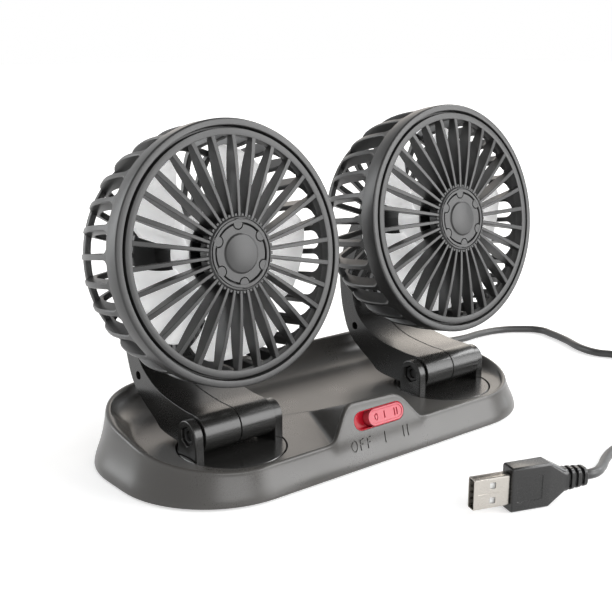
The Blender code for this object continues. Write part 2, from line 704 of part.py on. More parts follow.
def make_switch(finishes):
    """Red well, sliding knob, switch body and circuit board on the panel's own frame."""
    frame = axis_empty("switch_panel", (0, 0, 0))
    frame.matrix_world = panel_frame()
    inner_length = WELL_LENGTH - 2 * FIT_GAP - 2 * WELL_WALL
    inner_width = WELL_WIDTH - 2 * FIT_GAP - 2 * WELL_WALL
    well = prism(stadium(WELL_LENGTH - 2 * FIT_GAP, WELL_WIDTH - 2 * FIT_GAP), -WELL_DEPTH, 0)
    pocket = prism(stadium(inner_length, inner_width), WELL_FLOOR - WELL_DEPTH, OVERRUN)
    well = cut(well, pocket)
    slot_length = STEM_LENGTH + SWITCH_TRAVEL + 2 * FIT_GAP
    slot_right = (STEM_LENGTH + SWITCH_TRAVEL) / 2 + FIT_GAP
    slot = block((slot_right - slot_length, -STEM_WIDTH / 2 - FIT_GAP, -WELL_DEPTH - OVERRUN),
                 (slot_right, STEM_WIDTH / 2 + FIT_GAP, WELL_FLOOR - WELL_DEPTH + OVERRUN))
    finish("switch_well", moved(cut(well, slot), FACING), finishes["red"], frame)
    knob_x = inner_length / 2 - FIT_GAP - KNOB_LENGTH / 2
    knob = prism(stadium(KNOB_LENGTH, inner_width - 2 * FIT_GAP), WELL_FLOOR - WELL_DEPTH + FIT_GAP,
                 KNOB_PROUD)
    stem_x = SWITCH_TRAVEL / 2 - knob_x
    stem = block((stem_x - STEM_LENGTH / 2, -STEM_WIDTH / 2, -WELL_DEPTH - FIT_GAP - STEM_BITE),
                 (stem_x + STEM_LENGTH / 2, STEM_WIDTH / 2, KNOB_BASE - WELL_DEPTH))
    finish("switch_knob", moved(union(knob, stem), FACING), finishes["pink"], frame, (knob_x, 0, 0))
    body_front = -WELL_DEPTH - FIT_GAP
    body = block((-SWITCH_BODY_LENGTH / 2, -SWITCH_BODY_WIDTH / 2, body_front - SWITCH_BODY_DEPTH),
                 (SWITCH_BODY_LENGTH / 2, SWITCH_BODY_WIDTH / 2, body_front))
    groove = block((slot_right - slot_length, -STEM_WIDTH / 2 - FIT_GAP,
                    body_front - STEM_BITE - FIT_GAP),
                   (slot_right, STEM_WIDTH / 2 + FIT_GAP, body_front + OVERRUN))
    finish("switch_body", moved(cut(body, groove), FACING), finishes["steel"], frame)
    board_front = body_front - SWITCH_BODY_DEPTH - FIT_GAP
    board = block((-BOARD_SHIFT - BOARD_LENGTH / 2, -BOARD_DROP - BOARD_HEIGHT / 2,
                   board_front - BOARD_THICKNESS),
                  (BOARD_LENGTH / 2 - BOARD_SHIFT, BOARD_HEIGHT / 2 - BOARD_DROP, board_front))
    finish("circuit_board", moved(board, FACING), finishes["board"], frame)


# Turntable and arm

def ear_outline(radius):
    """An arched ear about the hinge axis, in Y and Z, standing on the turntable."""
    foot = -HINGE_RISE - TURNTABLE_THICKNESS / 2
    return [(radius, foot)] + arc((0, 0), radius, 0, pi, 8) + [(-radius, foot)]


def make_turntable(side, swivel, finishes):
    """The turning disc with its two hinge ears, and the retainer under the floor."""
    under = -TURNTABLE_THICKNESS
    bottom = BEARING_BOSS_BOTTOM - FIT_GAP - FLOOR_TOP
    socket = SPIGOT_RADIUS - SPIGOT_WALL
    profile = ((0, 0), (TURNTABLE_RADIUS, 0), (TURNTABLE_RADIUS, under), (SPIGOT_RADIUS, under),
               (SPIGOT_RADIUS, bottom), (socket, bottom), (socket, under), (0, under))
    disc = turned(profile, 20)
    ears = []
    for low in (-EAR_OUTER, EAR_INNER):
        ear = prism(ear_outline(EAR_HALF_DEPTH), low, low + EAR_THICKNESS)
        ears.append(moved(ear, Matrix.Translation((0, HINGE_OFFSET, HINGE_RISE)) @ ACROSS))
    disc = union(disc, joined(*ears))
    bore = cylinder(HINGE_PIN_RADIUS + FIT_GAP, -EAR_OUTER - OVERRUN, EAR_OUTER + OVERRUN, 12)
    nut_seat = cylinder(HEX_NUT_RADIUS + FIT_GAP, -EAR_OUTER - OVERRUN, HEX_NUT_LENGTH - EAR_OUTER, 6)
    head_seat = cylinder(HINGE_HEAD_RADIUS + FIT_GAP, EAR_OUTER - HINGE_HEAD_LENGTH,
                         EAR_OUTER + OVERRUN, 12)
    at_hinge = Matrix.Translation((0, HINGE_OFFSET, HINGE_RISE)) @ SIDE
    for tool in (bore, nut_seat, head_seat):
        disc = cut(disc, moved(tool, at_hinge))
    finish(f"{side}_turntable", disc, finishes["arm"], swivel)
    top = bottom - FIT_GAP
    low = top - RETAINER_THICKNESS
    plug = socket - FIT_GAP
    profile = ((WIRE_HOLE_RADIUS, low), (SPIGOT_RADIUS + RETAINER_OVERLAP, low),
               (SPIGOT_RADIUS + RETAINER_OVERLAP, top), (plug, top), (plug, top + RETAINER_PLUG),
               (WIRE_HOLE_RADIUS, top + RETAINER_PLUG))
    finish(f"{side}_swivel_retainer", turned(profile, 15), finishes["plastic"], swivel)


def make_hinge_pin(side, swivel, finishes):
    """The pin that the arm turns on, with its nut in the left ear."""
    place = (0, HINGE_OFFSET, HINGE_RISE)
    head = EAR_OUTER - HINGE_HEAD_LENGTH + FIT_GAP
    nut_face = HEX_NUT_LENGTH - EAR_OUTER
    profile = ((0, nut_face + FIT_GAP), (HINGE_PIN_RADIUS, nut_face + FIT_GAP), (HINGE_PIN_RADIUS, head),
               (HINGE_HEAD_RADIUS, head), (HINGE_HEAD_RADIUS, EAR_OUTER - FIT_GAP),
               (0, EAR_OUTER - FIT_GAP))
    finish(f"{side}_hinge_pin", moved(turned(profile, 12), SIDE), finishes["steel"], swivel, place)
    nut = cylinder(HEX_NUT_RADIUS, FIT_GAP - EAR_OUTER, nut_face - FIT_GAP, 6)
    finish(f"{side}_hinge_nut", moved(nut, SIDE), finishes["steel"], swivel, place)


def arm_outline():
    """The arm's side outline about the base hinge, in Y and Z."""
    front = [(y * ARM_REACH, z * ARM_RISE) for y, z in ARM_FRONT_SHARES]
    back = [(y * ARM_REACH, z * ARM_RISE) for y, z in ARM_BACK_SHARES]
    barrel = arc((0, 0), ARM_BARREL_RADIUS, 3 * pi / 2, pi / 2, 8)
    tip = arc((ARM_REACH, ARM_RISE), ARM_TIP_RADIUS, radians(205), radians(10), 6)
    front = [tuple(point) for point in smooth(front, ARM_CURVE_STEPS)]
    back = [tuple(point) for point in smooth(back, ARM_CURVE_STEPS)]
    return barrel + front + tip + back


def arm_screw_place(name):
    y_share, z_share = ARM_SCREW_SHARES[name]
    return (y_share * ARM_REACH, z_share * ARM_RISE)


def make_arm(side, hinge, finishes):
    """The two arm halves, screwed together side by side."""
    bore = HINGE_PIN_RADIUS + FIT_GAP
    for name, low, high in (("left", -ARM_HALF_WIDTH, -FIT_GAP / 2), ("right", FIT_GAP / 2, ARM_HALF_WIDTH)):
        half = moved(prism(arm_outline(), low, high), ACROSS)
        fork = block((-FORK_HALF_GAP, ARM_REACH - FORK_DEPTH, ARM_RISE - FORK_DEPTH),
                     (FORK_HALF_GAP, ARM_REACH + FORK_DEPTH + KNUCKLE_RADIUS, ARM_RISE + FORK_DEPTH))
        half = cut(half, fork)
        tools = [moved(cylinder(bore, low - OVERRUN, high + OVERRUN, 12), SIDE)]
        pin_low = low + PIN_COVER if name == "left" else low - OVERRUN
        pin_high = high + OVERRUN if name == "left" else high - PIN_COVER
        pin_hole = cylinder(TILT_PIN_RADIUS + FIT_GAP, pin_low, pin_high, 12)
        tools.append(moved(pin_hole, Matrix.Translation((0, ARM_REACH, ARM_RISE)) @ SIDE))
        for place in ARM_SCREW_SHARES:
            y, z = arm_screw_place(place)
            at = Matrix.Translation((0, y, z)) @ SIDE
            tools.append(moved(arm_screw_hole(name, low, high), at))
        for tool in tools:
            half = cut(half, tool)
        finish(f"{side}_arm_{name}_half", half, finishes["arm"], hinge)
    for place in ARM_SCREW_SHARES:
        y, z = arm_screw_place(place)
        head = -ARM_HALF_WIDTH + ARM_SCREW_SINK
        seat = head + ARM_SCREW_HEAD_LENGTH
        profile = ((0, head), (ARM_SCREW_HEAD_RADIUS, head), (ARM_SCREW_HEAD_RADIUS, seat),
                   (ARM_SCREW_RADIUS, seat), (ARM_SCREW_RADIUS, ARM_SCREW_BITE), (0, ARM_SCREW_BITE))
        finish(f"{side}_arm_screw_{place}", moved(turned(profile, 8), SIDE), finishes["steel"], hinge,
               (0, y, z))


def arm_screw_hole(name, low, high):
    """A sunk hole right through the left half, a blind one in the right half."""
    if name == "right":
        return cylinder(ARM_SCREW_RADIUS + FIT_GAP, low - OVERRUN, ARM_SCREW_BITE + FIT_GAP, 8)
    seat = low + ARM_SCREW_SINK + ARM_SCREW_HEAD_LENGTH + FIT_GAP
    profile = ((0, low - OVERRUN), (ARM_SCREW_HEAD_RADIUS + FIT_GAP, low - OVERRUN),
               (ARM_SCREW_HEAD_RADIUS + FIT_GAP, seat), (ARM_SCREW_RADIUS + FIT_GAP, seat),
               (ARM_SCREW_RADIUS + FIT_GAP, high + OVERRUN), (0, high + OVERRUN))
    return turned(profile, 8)


def make_tilt_pin(side, hinge, finishes):
    """The pin through the arm's fork and the head's knuckle, closed in by both arm halves."""
    reach = ARM_HALF_WIDTH - PIN_COVER - FIT_GAP
    pin = moved(cylinder(TILT_PIN_RADIUS, -reach, reach, 12), SIDE)
    finish(f"{side}_tilt_pin", pin, finishes["steel"], hinge, (0, ARM_REACH, ARM_RISE))


# Fan head

def around_head(solid, index, count):
    """Turn a copy to its place in a ring about the head's axis."""
    return moved(solid, Matrix.Rotation(2 * pi * (index + 0.5) / count, 4, "Z"))


def rib():
    """One cage rib: down the side, round the back corner and in to the rear plate."""
    outer = [(r * HEAD_RADIUS, d * CAGE_DEPTH) for r, d in RIB_PROFILE_SHARES]
    inner = []
    for index, (radius, depth) in enumerate(outer):
        before = outer[max(index - 1, 0)]
        after = outer[min(index + 1, len(outer) - 1)]
        run = (after[0] - before[0], after[1] - before[1])
        length = hypot(*run)
        thick = RIB_END_DEPTH if index == len(outer) - 1 else RIB_DEPTH
        inner.append((radius - run[1] / length * thick, depth + run[0] / length * thick))
    start = BAND_DEPTH / 2
    outer[0] = (outer[0][0] - BAND_DRAFT / 2, start)
    inner[0] = (RIM_INNER - SEAT_WIDTH + BAND_DRAFT, start)
    outline = outer + inner[::-1]
    flat = prism(outline, -RIB_THICKNESS / 2, RIB_THICKNESS / 2)
    return moved(flat, Matrix.Rotation(pi / 2, 4, "X"))


def make_rear_shell(side, tilt, finishes):
    """Rim band, thirty ribs, rear hoop, rear plate and the knuckle behind it."""
    seat = RIM_INNER - SEAT_WIDTH
    band = turned(((HEAD_RADIUS, -RIM_FRONT), (RIM_INNER, -RIM_FRONT), (RIM_INNER, SEAT_DEPTH),
                   (seat, SEAT_DEPTH), (seat, BAND_DEPTH - BAND_DRAFT),
                   (HEAD_RADIUS - BAND_DRAFT, BAND_DEPTH)), RIB_COUNT)
    half = REAR_HOOP_WIDTH / 2
    low = REAR_HOOP_DEPTH - half
    high = REAR_HOOP_DEPTH + half
    hoop = turned(((REAR_HOOP_RADIUS + half, low), (REAR_HOOP_RADIUS - half, low),
                   (REAR_HOOP_RADIUS - half, high), (REAR_HOOP_RADIUS + half, high)), RIB_COUNT)
    plate_front = CAGE_DEPTH - REAR_PLATE_THICKNESS
    plate = cylinder(REAR_PLATE_RADIUS, plate_front, CAGE_DEPTH, RIB_COUNT)
    inner_rings = moved(joined(hoop, plate), Matrix.Rotation(pi / RIB_COUNT, 4, "Z"))
    ribs = joined(*[around_head(rib(), index, RIB_COUNT) for index in range(RIB_COUNT)])
    cage = union(joined(band, inner_rings), ribs)
    stem_front = plate_front + FIT_GAP - PIVOT_BEHIND
    outline = arc((0, 0), KNUCKLE_RADIUS, -pi / 2, pi / 2, 8)
    outline += [(stem_front, KNUCKLE_RADIUS), (stem_front, -KNUCKLE_RADIUS)]
    knuckle = moved(prism(outline, FIT_GAP - FORK_HALF_GAP, FORK_HALF_GAP - FIT_GAP), ACROSS)
    shell = union(shifted(moved(cage, BACK), y=-PIVOT_BEHIND), knuckle)
    bore = moved(cylinder(TILT_PIN_RADIUS + FIT_GAP, -FORK_HALF_GAP - OVERRUN, FORK_HALF_GAP + OVERRUN, 12),
                 SIDE)
    finish(f"{side}_rear_shell", cut(shell, bore), finishes["head"], tilt)


def vane():
    """One deep, domed grille vane, thin at the hub and thicker at the ring."""
    root = GRILLE_HUB_RADIUS - GRILLE_HUB_WALL / 2
    tip = GRILLE_OUTER - GRILLE_RING_WIDTH / 2
    front_root = -GRILLE_HUB_FRONT + GRILLE_LIP_DEPTH / 2
    front_tip = -RIM_FRONT + GRILLE_LIP_DEPTH / 2
    rows = []
    for share, fall in VANE_FRONT_SHARES:
        radius = root + (tip - root) * share
        front = front_root + (front_tip - front_root) * fall
        bulge = 4 * share * (1 - share)
        back = GRILLE_HUB_SKIRT / 2 + (VANE_BACK - GRILLE_HUB_SKIRT / 2) * bulge
        thick = VANE_THICKNESS_ROOT + (VANE_THICKNESS_TIP - VANE_THICKNESS_ROOT) * share
        rows.append([(radius, -thick / 2, front), (radius, thick / 2, front),
                     (radius, thick / 2, back), (radius, -thick / 2, back)])
    return loft(rows)


def make_grille(side, spin, finishes):
    """Front grille ring, hub and thirty vanes, with the cap in its hub."""
    lip = GRILLE_OUTER + GRILLE_LIP
    seat = SEAT_DEPTH - FIT_GAP
    ring = turned(((GRILLE_OUTER, -RIM_FRONT), (GRILLE_INNER, -RIM_FRONT), (GRILLE_INNER, seat), (lip, seat),
                   (lip, GRILLE_LIP_DEPTH - RIM_FRONT), (GRILLE_OUTER, GRILLE_LIP_DEPTH - RIM_FRONT)),
                  RIB_COUNT)
    socket = GRILLE_HUB_RADIUS - GRILLE_HUB_WALL
    floor = GRILLE_HUB_FLOOR - GRILLE_HUB_FRONT
    hub = turned(((0, floor), (socket, floor), (socket, -GRILLE_HUB_FRONT),
                  (GRILLE_HUB_RADIUS, -GRILLE_HUB_FRONT), (GRILLE_HUB_RADIUS, GRILLE_HUB_SKIRT),
                  (socket, GRILLE_HUB_SKIRT), (socket, floor + GRILLE_HUB_WEB), (0, floor + GRILLE_HUB_WEB)),
                 RIB_COUNT // 2)
    vanes = joined(*[around_head(vane(), index, RIB_COUNT) for index in range(RIB_COUNT)])
    grille = union(joined(ring, hub), vanes)
    finish(f"{side}_front_grille", moved(grille, BACK), finishes["head"], spin)
    back = floor - FIT_GAP
    front = back - CAP_THICKNESS
    cap = turned(((0, back), (CAP_RADIUS, back), (CAP_RADIUS, front), (CAP_DOME_RADIUS, front),
                  (CAP_DOME_RADIUS - CAP_DOME_RISE, front - CAP_DOME_RISE), (0, front - CAP_DOME_RISE)), 12)
    notches = []
    for index in range(CAP_NOTCHES):
        notch = cylinder(CAP_NOTCH_RADIUS, front - OVERRUN, back + OVERRUN, 6)
        notches.append(around_head(shifted(notch, x=CAP_RADIUS), index, CAP_NOTCHES))
    finish(f"{side}_hub_cap", moved(cut(cap, joined(*notches)), BACK), finishes["head"], spin)


def blade():
    """One wide, pitched blade as a thin closed sheet between the sleeve and the tip."""
    root = ROTOR_RADIUS + FIT_GAP + IMPELLER_SLEEVE_WALL / 2
    rows = []
    for chord_step in range(BLADE_CHORD_STEPS + 1):
        chord = chord_step / BLADE_CHORD_STEPS
        depth = BLADE_FRONT + BLADE_RISE * chord
        front = []
        for span_step in range(BLADE_SPAN_STEPS + 1):
            share = span_step / BLADE_SPAN_STEPS
            radius = root + (BLADE_TIP_RADIUS - root) * share
            span = BLADE_ROOT_SPAN + (BLADE_TIP_SPAN - BLADE_ROOT_SPAN) * share
            angle = BLADE_SWEEP * share + span * (chord - 1 / 2)
            front.append((radius * cos(angle), radius * sin(angle), depth))
        back = [(x, y, depth + BLADE_THICKNESS) for x, y, _ in front[::-1]]
        rows.append(front + back)
    return loft(rows)


def make_motor(side, tilt, spin, finishes):
    """Motor can on the rear plate, its shaft, the rotor hub and the bladed impeller."""
    bore = SHAFT_RADIUS + FIT_GAP
    back = CAGE_DEPTH - REAR_PLATE_THICKNESS - FIT_GAP
    reach = MOTOR_FRONT + SHAFT_BITE
    can = turned(((0, reach + FIT_GAP), (bore, reach + FIT_GAP), (bore, MOTOR_FRONT),
                  (MOTOR_RADIUS, MOTOR_FRONT), (MOTOR_RADIUS, back), (0, back)), 15)
    finish(f"{side}_motor", shifted(moved(can, BACK), y=-PIVOT_BEHIND), finishes["steel"], tilt)
    blind = ROTOR_FRONT + BLADE_THICKNESS
    hub = turned(((0, ROTOR_FRONT), (ROTOR_RADIUS, ROTOR_FRONT), (ROTOR_RADIUS, ROTOR_BACK),
                  (bore, ROTOR_BACK), (bore, blind), (0, blind)), 15)
    finish(f"{side}_rotor_hub", moved(hub, BACK), finishes["black"], spin)
    shaft = cylinder(SHAFT_RADIUS, blind + FIT_GAP, reach, 8)
    finish(f"{side}_motor_shaft", moved(shaft, BACK), finishes["steel"], spin)
    inner = ROTOR_RADIUS + FIT_GAP
    outer = inner + IMPELLER_SLEEVE_WALL
    front = ROTOR_FRONT
    sleeve_back = BLADE_FRONT + BLADE_RISE + 2 * BLADE_THICKNESS
    sleeve = turned(((outer, front), (inner, front), (inner, sleeve_back), (outer, sleeve_back)), 15)
    blades = [moved(blade(), Matrix.Rotation(2 * pi * index / BLADE_COUNT, 4, "Z"))
              for index in range(BLADE_COUNT)]
    impeller = union(sleeve, joined(*blades))
    finish(f"{side}_impeller", moved(impeller, BACK), finishes["blade"], spin)


def make_fan(side, x, tilt_back, finishes):
    """One whole fan on its turntable."""
    swivel = axis_empty(f"{side}_swivel_axis", (x, FAN_LINE, FLOOR_TOP))
    hinge = axis_empty(f"{side}_hinge_axis", (0, HINGE_OFFSET, HINGE_RISE), 0.0, swivel)
    tilt = axis_empty(f"{side}_tilt_axis", (0, ARM_REACH, ARM_RISE), -tilt_back, hinge)
    spin = axis_empty(f"{side}_spin_axis", (0, -PIVOT_BEHIND, 0), 0.0, tilt)
    make_turntable(side, swivel, finishes)
    make_hinge_pin(side, swivel, finishes)
    make_arm(side, hinge, finishes)
    make_tilt_pin(side, hinge, finishes)
    make_rear_shell(side, tilt, finishes)
    make_grille(side, spin, finishes)
    make_motor(side, tilt, spin, finishes)


# Cord and plug

def cord_tube(name, points, resolution, finishes):
    """A round tube along a route, closed at both ends."""
    curve = bpy.data.curves.new(name, "CURVE")
    curve.dimensions = "3D"
    curve.bevel_depth = CORD_RADIUS
    curve.bevel_resolution = resolution
    curve.use_fill_caps = True
    line = curve.splines.new("POLY")
    line.points.add(len(points) - 1)
    for knot, place in zip(line.points, points):
        knot.co = (*place, 1.0)
    line.use_smooth = True
    curve.materials.append(finishes["cord"])
    tube = bpy.data.objects.new(name, curve)
    bpy.context.scene.collection.objects.link(tube)
    return tube


def coil_route():
    """Loops laid clockwise: spiral in on the surface, climb half a turn, spiral out on top."""
    steps_in = COIL_POINTS_PER_TURN * COIL_TURNS_IN
    steps_climb = COIL_POINTS_PER_TURN // 2
    steps_out = round(COIL_POINTS_PER_TURN * COIL_TURNS_OUT)
    turn_back = steps_in + steps_climb / 2
    route = []
    for step in range(steps_in + steps_climb + steps_out + 1):
        angle = -2 * pi * step / COIL_POINTS_PER_TURN
        wound = turn_back - abs(step - turn_back)
        radius = COIL_OUTER_RADIUS - COIL_PITCH * wound / COIL_POINTS_PER_TURN
        climb = min(max((step - steps_in) / steps_climb, 0.0), 1.0)
        height = COIL_REST + COIL_LAYER_RISE * (1 - cos(pi * climb)) / 2
        route.append(Vector((COIL_X + radius * cos(angle), COIL_Y + radius * sin(angle), height)))
    lead_in = route[0] + Vector((0, CORD_DIAMETER, 0))
    lead_out = route[-1] + Vector((-CORD_DIAMETER, 0, 0))
    return [lead_in] + route + [lead_out]


def least_gap(route):
    """The least space between two turns of the coil, from points closer together than the tube's radius."""
    fine = []
    for one, two in zip(route, route[1:]):
        for step in range(8):
            fine.append(one.lerp(two, step / 8))
    skip = COIL_POINTS_PER_TURN * 8 // 4
    least = min((fine[i] - fine[j]).length for i in range(len(fine)) for j in range(i + skip, len(fine)))
    return least - CORD_DIAMETER


def plug_frame():
    """The plug lies on its narrow edge: X points from the cord to the tip, Z up its width."""
    place = Matrix.Translation((PLUG_X, PLUG_Y, PLUG_BODY_WIDTH / 2))
    return place @ Matrix.Rotation(pi + PLUG_TURN, 4, "Z")


def rounded_box_loop(x, width, thickness, steps=2):
    """A rounded rectangle across the plug's length, thickness along Y and width along Z."""
    radius = min(width, thickness) / 4
    loop = []
    for side_y, side_z, start in ((1, 1, 0), (-1, 1, pi / 2), (-1, -1, pi), (1, -1, 3 * pi / 2)):
        centre = (side_y * (thickness / 2 - radius), side_z * (width / 2 - radius))
        loop += [(x, y, z) for y, z in arc(centre, radius, start, start + pi / 2, steps)]
    return loop


def make_plug(finishes):
    """Ridged neck and moulded grip, steel shell and its tongue."""
    frame = plug_frame()
    ridge = PLUG_NECK_LENGTH / 6
    widening = (PLUG_ROOT_WIDTH - PLUG_NECK_WIDTH) / PLUG_NECK_LENGTH
    groove = 2 * PLUG_NECK_GROOVE
    loops = []
    for index in range(3):
        for offset, less in ((0, 0), (ridge, 0), (ridge, groove), (2 * ridge, groove)):
            x = 2 * index * ridge + offset
            width = PLUG_NECK_WIDTH + widening * x
            loops.append(rounded_box_loop(x, width - less, PLUG_NECK_THICKNESS - less))
    taper = PLUG_NECK_LENGTH + PLUG_TAPER_LENGTH
    body_end = taper + PLUG_BODY_LENGTH
    loops.append(rounded_box_loop(PLUG_NECK_LENGTH, PLUG_ROOT_WIDTH, PLUG_NECK_THICKNESS))
    loops.append(rounded_box_loop(taper, PLUG_BODY_WIDTH, PLUG_BODY_THICKNESS))
    loops.append(rounded_box_loop(body_end, PLUG_BODY_WIDTH, PLUG_BODY_THICKNESS))
    finish("plug_overmould", moved(loft(loops), frame), finishes["black"])
    start = body_end + FIT_GAP
    end = start + PLUG_SHELL_LENGTH
    tube = block((start, -PLUG_SHELL_THICKNESS / 2, -PLUG_SHELL_WIDTH / 2),
                 (end, PLUG_SHELL_THICKNESS / 2, PLUG_SHELL_WIDTH / 2))
    inner_y = PLUG_SHELL_THICKNESS / 2 - PLUG_SHELL_WALL
    inner_z = PLUG_SHELL_WIDTH / 2 - PLUG_SHELL_WALL
    tools = [block((start + PLUG_SHELL_WALL, -inner_y, -inner_z), (end + OVERRUN, inner_y, inner_z))]
    for side in (-1, 1):
        middle = side * PLUG_HOLE_APART / 2
        hole_x = end - PLUG_HOLE_BACK
        half = PLUG_HOLE_SIZE / 2
        tools.append(block((hole_x - half, -PLUG_SHELL_THICKNESS / 2 - OVERRUN, middle - half),
                           (hole_x + half, PLUG_SHELL_THICKNESS / 2 + OVERRUN, middle + half)))
    for tool in tools:
        tube = cut(tube, tool)
    finish("plug_shell", moved(tube, frame), finishes["steel"])
    low = start + PLUG_SHELL_WALL + FIT_GAP
    tongue_y = inner_y - FIT_GAP
    tongue = block((low, tongue_y - PLUG_TONGUE_THICKNESS, FIT_GAP - inner_z),
                   (end - PLUG_TONGUE_SHORT, tongue_y, inner_z - FIT_GAP))
    finish("plug_tongue", moved(tongue, frame), finishes["tongue"])


def make_cord(finishes):
    """Strain relief, back run, coil and plug run."""
    wall = relief_wall()
    lean = wall_inset(FLOOR_UNDER, 1.0) - wall_inset(CORD_EXIT_HEIGHT, 1.0)
    inside = -SHELL_WALL - FIT_GAP - lean
    profile = ((0, inside - RELIEF_FLANGE_LENGTH), (RELIEF_FLANGE_RADIUS, inside - RELIEF_FLANGE_LENGTH),
               (RELIEF_FLANGE_RADIUS, inside), (RELIEF_ROOT_RADIUS, inside), (RELIEF_ROOT_RADIUS, FIT_GAP),
               (RELIEF_TIP_RADIUS, RELIEF_LENGTH), (0, RELIEF_LENGTH))
    place = Matrix.Translation((CORD_EXIT_X, wall, CORD_EXIT_HEIGHT))
    finish("cord_strain_relief", moved(turned(profile, 12), place @ BACK), finishes["cord"])
    start = Vector((CORD_EXIT_X, wall + RELIEF_LENGTH + FIT_GAP, CORD_EXIT_HEIGHT))
    straight = start + Vector((0, CORD_DIAMETER, 0))
    coil = coil_route()
    coil_in = coil[0] + Vector((0, FIT_GAP, 0))
    before_coil = coil_in + Vector((0, CORD_DIAMETER, 0))
    back = [start, straight] + [Vector(place) for place in BACK_ROUTE] + [before_coil, coil_in]
    cord_tube("cord_back_run", laid_route(back), 2, finishes)
    cord_tube("cord_coil", coil, 1, finishes)
    coil_out = coil[-1] + Vector((-FIT_GAP, 0, 0))
    after_coil = coil_out + Vector((-3 * CORD_DIAMETER, 0, 0))
    frame = plug_frame()
    plug_in = frame @ Vector((-FIT_GAP, 0, 0))
    before_plug = frame @ Vector((-FIT_GAP - CORD_DIAMETER, 0, 0))
    run = [coil_out, after_coil] + [Vector(place) for place in PLUG_ROUTE] + [before_plug, plug_in]
    cord_tube("cord_plug_run", laid_route(run), 2, finishes)
    total = sum((two - one).length for route in (laid_route(back), coil, laid_route(run))
                for one, two in zip(route, route[1:]))
    print(f"coil: least gap to itself {least_gap(coil) * 1000:.2f} mm, cord length {total:.3f} m")


def main():
    clear_scene()
    finishes = {
        "base": material("base plastic", (0.135, 0.130, 0.122), 0.38, 0.25),
        "arm": material("arm plastic", (0.075, 0.072, 0.068), 0.34, 0.25),
        "head": material("head plastic", (0.085, 0.085, 0.085), 0.48),
        "plastic": material("plain black plastic", (0.03, 0.03, 0.03), 0.5),
        "black": material("gloss black plastic", (0.02, 0.02, 0.02), 0.3),
        "blade": material("milky blade plastic", (0.85, 0.86, 0.87), 0.35),
        "red": material("red plastic", (0.55, 0.012, 0.030), 0.35),
        "pink": material("light red plastic", (0.80, 0.12, 0.16), 0.30),
        "cord": material("cord jacket", (0.05, 0.05, 0.05), 0.45),
        "rubber": material("foot rubber", (0.02, 0.02, 0.02), 0.8),
        "steel": material("steel", (0.62, 0.60, 0.57), 0.25, 1.0),
        "board": material("circuit board", (0.02, 0.14, 0.06), 0.5),
        "tongue": material("plug tongue", (0.75, 0.75, 0.74), 0.5),
    }
    make_base_shell(finishes)
    make_underside(finishes)
    make_switch(finishes)
    for side, x, tilt_back in fan_sides():
        make_fan(side, x, tilt_back, finishes)
    make_cord(finishes)
    make_plug(finishes)


main()
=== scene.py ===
"""Dual head car fan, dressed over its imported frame: base, arms, cages, blades, switch, cord and plug."""
from math import atan, cos, exp, pi, radians, sin, sqrt, tan

import bmesh
import bpy
from mathutils import Euler, Matrix, Vector


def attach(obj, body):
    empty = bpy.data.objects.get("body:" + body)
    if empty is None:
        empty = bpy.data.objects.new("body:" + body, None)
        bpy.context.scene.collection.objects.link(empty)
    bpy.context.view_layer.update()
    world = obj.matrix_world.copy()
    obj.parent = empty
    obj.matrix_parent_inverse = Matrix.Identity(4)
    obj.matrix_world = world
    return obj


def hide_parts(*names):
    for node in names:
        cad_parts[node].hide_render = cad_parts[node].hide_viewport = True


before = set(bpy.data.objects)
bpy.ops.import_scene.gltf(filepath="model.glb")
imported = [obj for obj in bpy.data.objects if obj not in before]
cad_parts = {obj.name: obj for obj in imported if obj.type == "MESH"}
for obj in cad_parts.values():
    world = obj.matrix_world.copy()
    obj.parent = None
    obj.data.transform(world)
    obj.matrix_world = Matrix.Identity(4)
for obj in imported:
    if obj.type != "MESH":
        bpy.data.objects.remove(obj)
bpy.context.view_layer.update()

bl_info = {
    "name": "Dual head car fan",
    "version": (1, 0, 0),
    "blender": (4, 5, 0),
    "location": "3D View > Sidebar > Car fan",
    "description": "Builds the visible pieces of a dual head car fan around its moving frame",
    "category": "Add Mesh",
}

SIDES = ("left", "right")

# The same places and sizes as the solids, in metres
FLOOR_TOP = 0.0120
FOOT_PROUD = 0.0008
SHELL_WALL = 0.0022
FLOOR_UNDER = 0.0097
WALL_UPRIGHT = 0.0030
WALL_LEAN = 0.0090
WALL_LEAN_FALL = 0.0140
BACK_LEAN_SHARE = 0.35
CREST_FRONT = 0.01195
CREST_BACK = 0.02485
RIM_INSET_LONG_SIDES = 0.0052
RIM_INSET_ENDS = 0.0078
TRAY_REACH_SHARE = 1.6
END_REACH_SHARE = 1.15
FAN_X = 0.0594
FAN_LINE = -0.0176
TURNTABLE_RADIUS = 0.02155
EAR_INNER = 0.0168
EAR_OUTER = 0.0207
EAR_HALF_DEPTH = 0.0063
HINGE_OFFSET = 0.0003
HINGE_RISE = 0.0090
ARM_HALF_WIDTH = 0.0165
ARM_REACH = 0.0407
ARM_RISE = 0.0615
PIVOT_BEHIND = 0.0450
TILT = {"left": radians(9.6), "right": radians(9.8)}
PANEL_LEAN = atan(0.3)
WELL_X = -0.0033
WELL_HEIGHT = 0.0186
CORD_EXIT = (0.0560, 0.0, 0.0063)
BACK = Matrix.Rotation(-pi / 2, 4, "X")
SIDE = Matrix.Rotation(pi / 2, 4, "Y")
ACROSS = Matrix(((0, 0, 1, 0), (1, 0, 0, 0), (0, 1, 0, 0), (0, 0, 0, 1)))
FACING = Matrix(((1, 0, 0, 0), (0, 0, -1, 0), (0, 1, 0, 0), (0, 0, 0, 1)))


# Sizes and colours that a user would change


def length(name, description, default):
    return bpy.props.FloatProperty(name=name, description=description, default=default, min=0.0,
                                   precision=5, unit="LENGTH")


def colour(name, description, default):
    return bpy.props.FloatVectorProperty(name=name, description=description, default=default, size=3,
                                         min=0.0, max=1.0, subtype="COLOR")


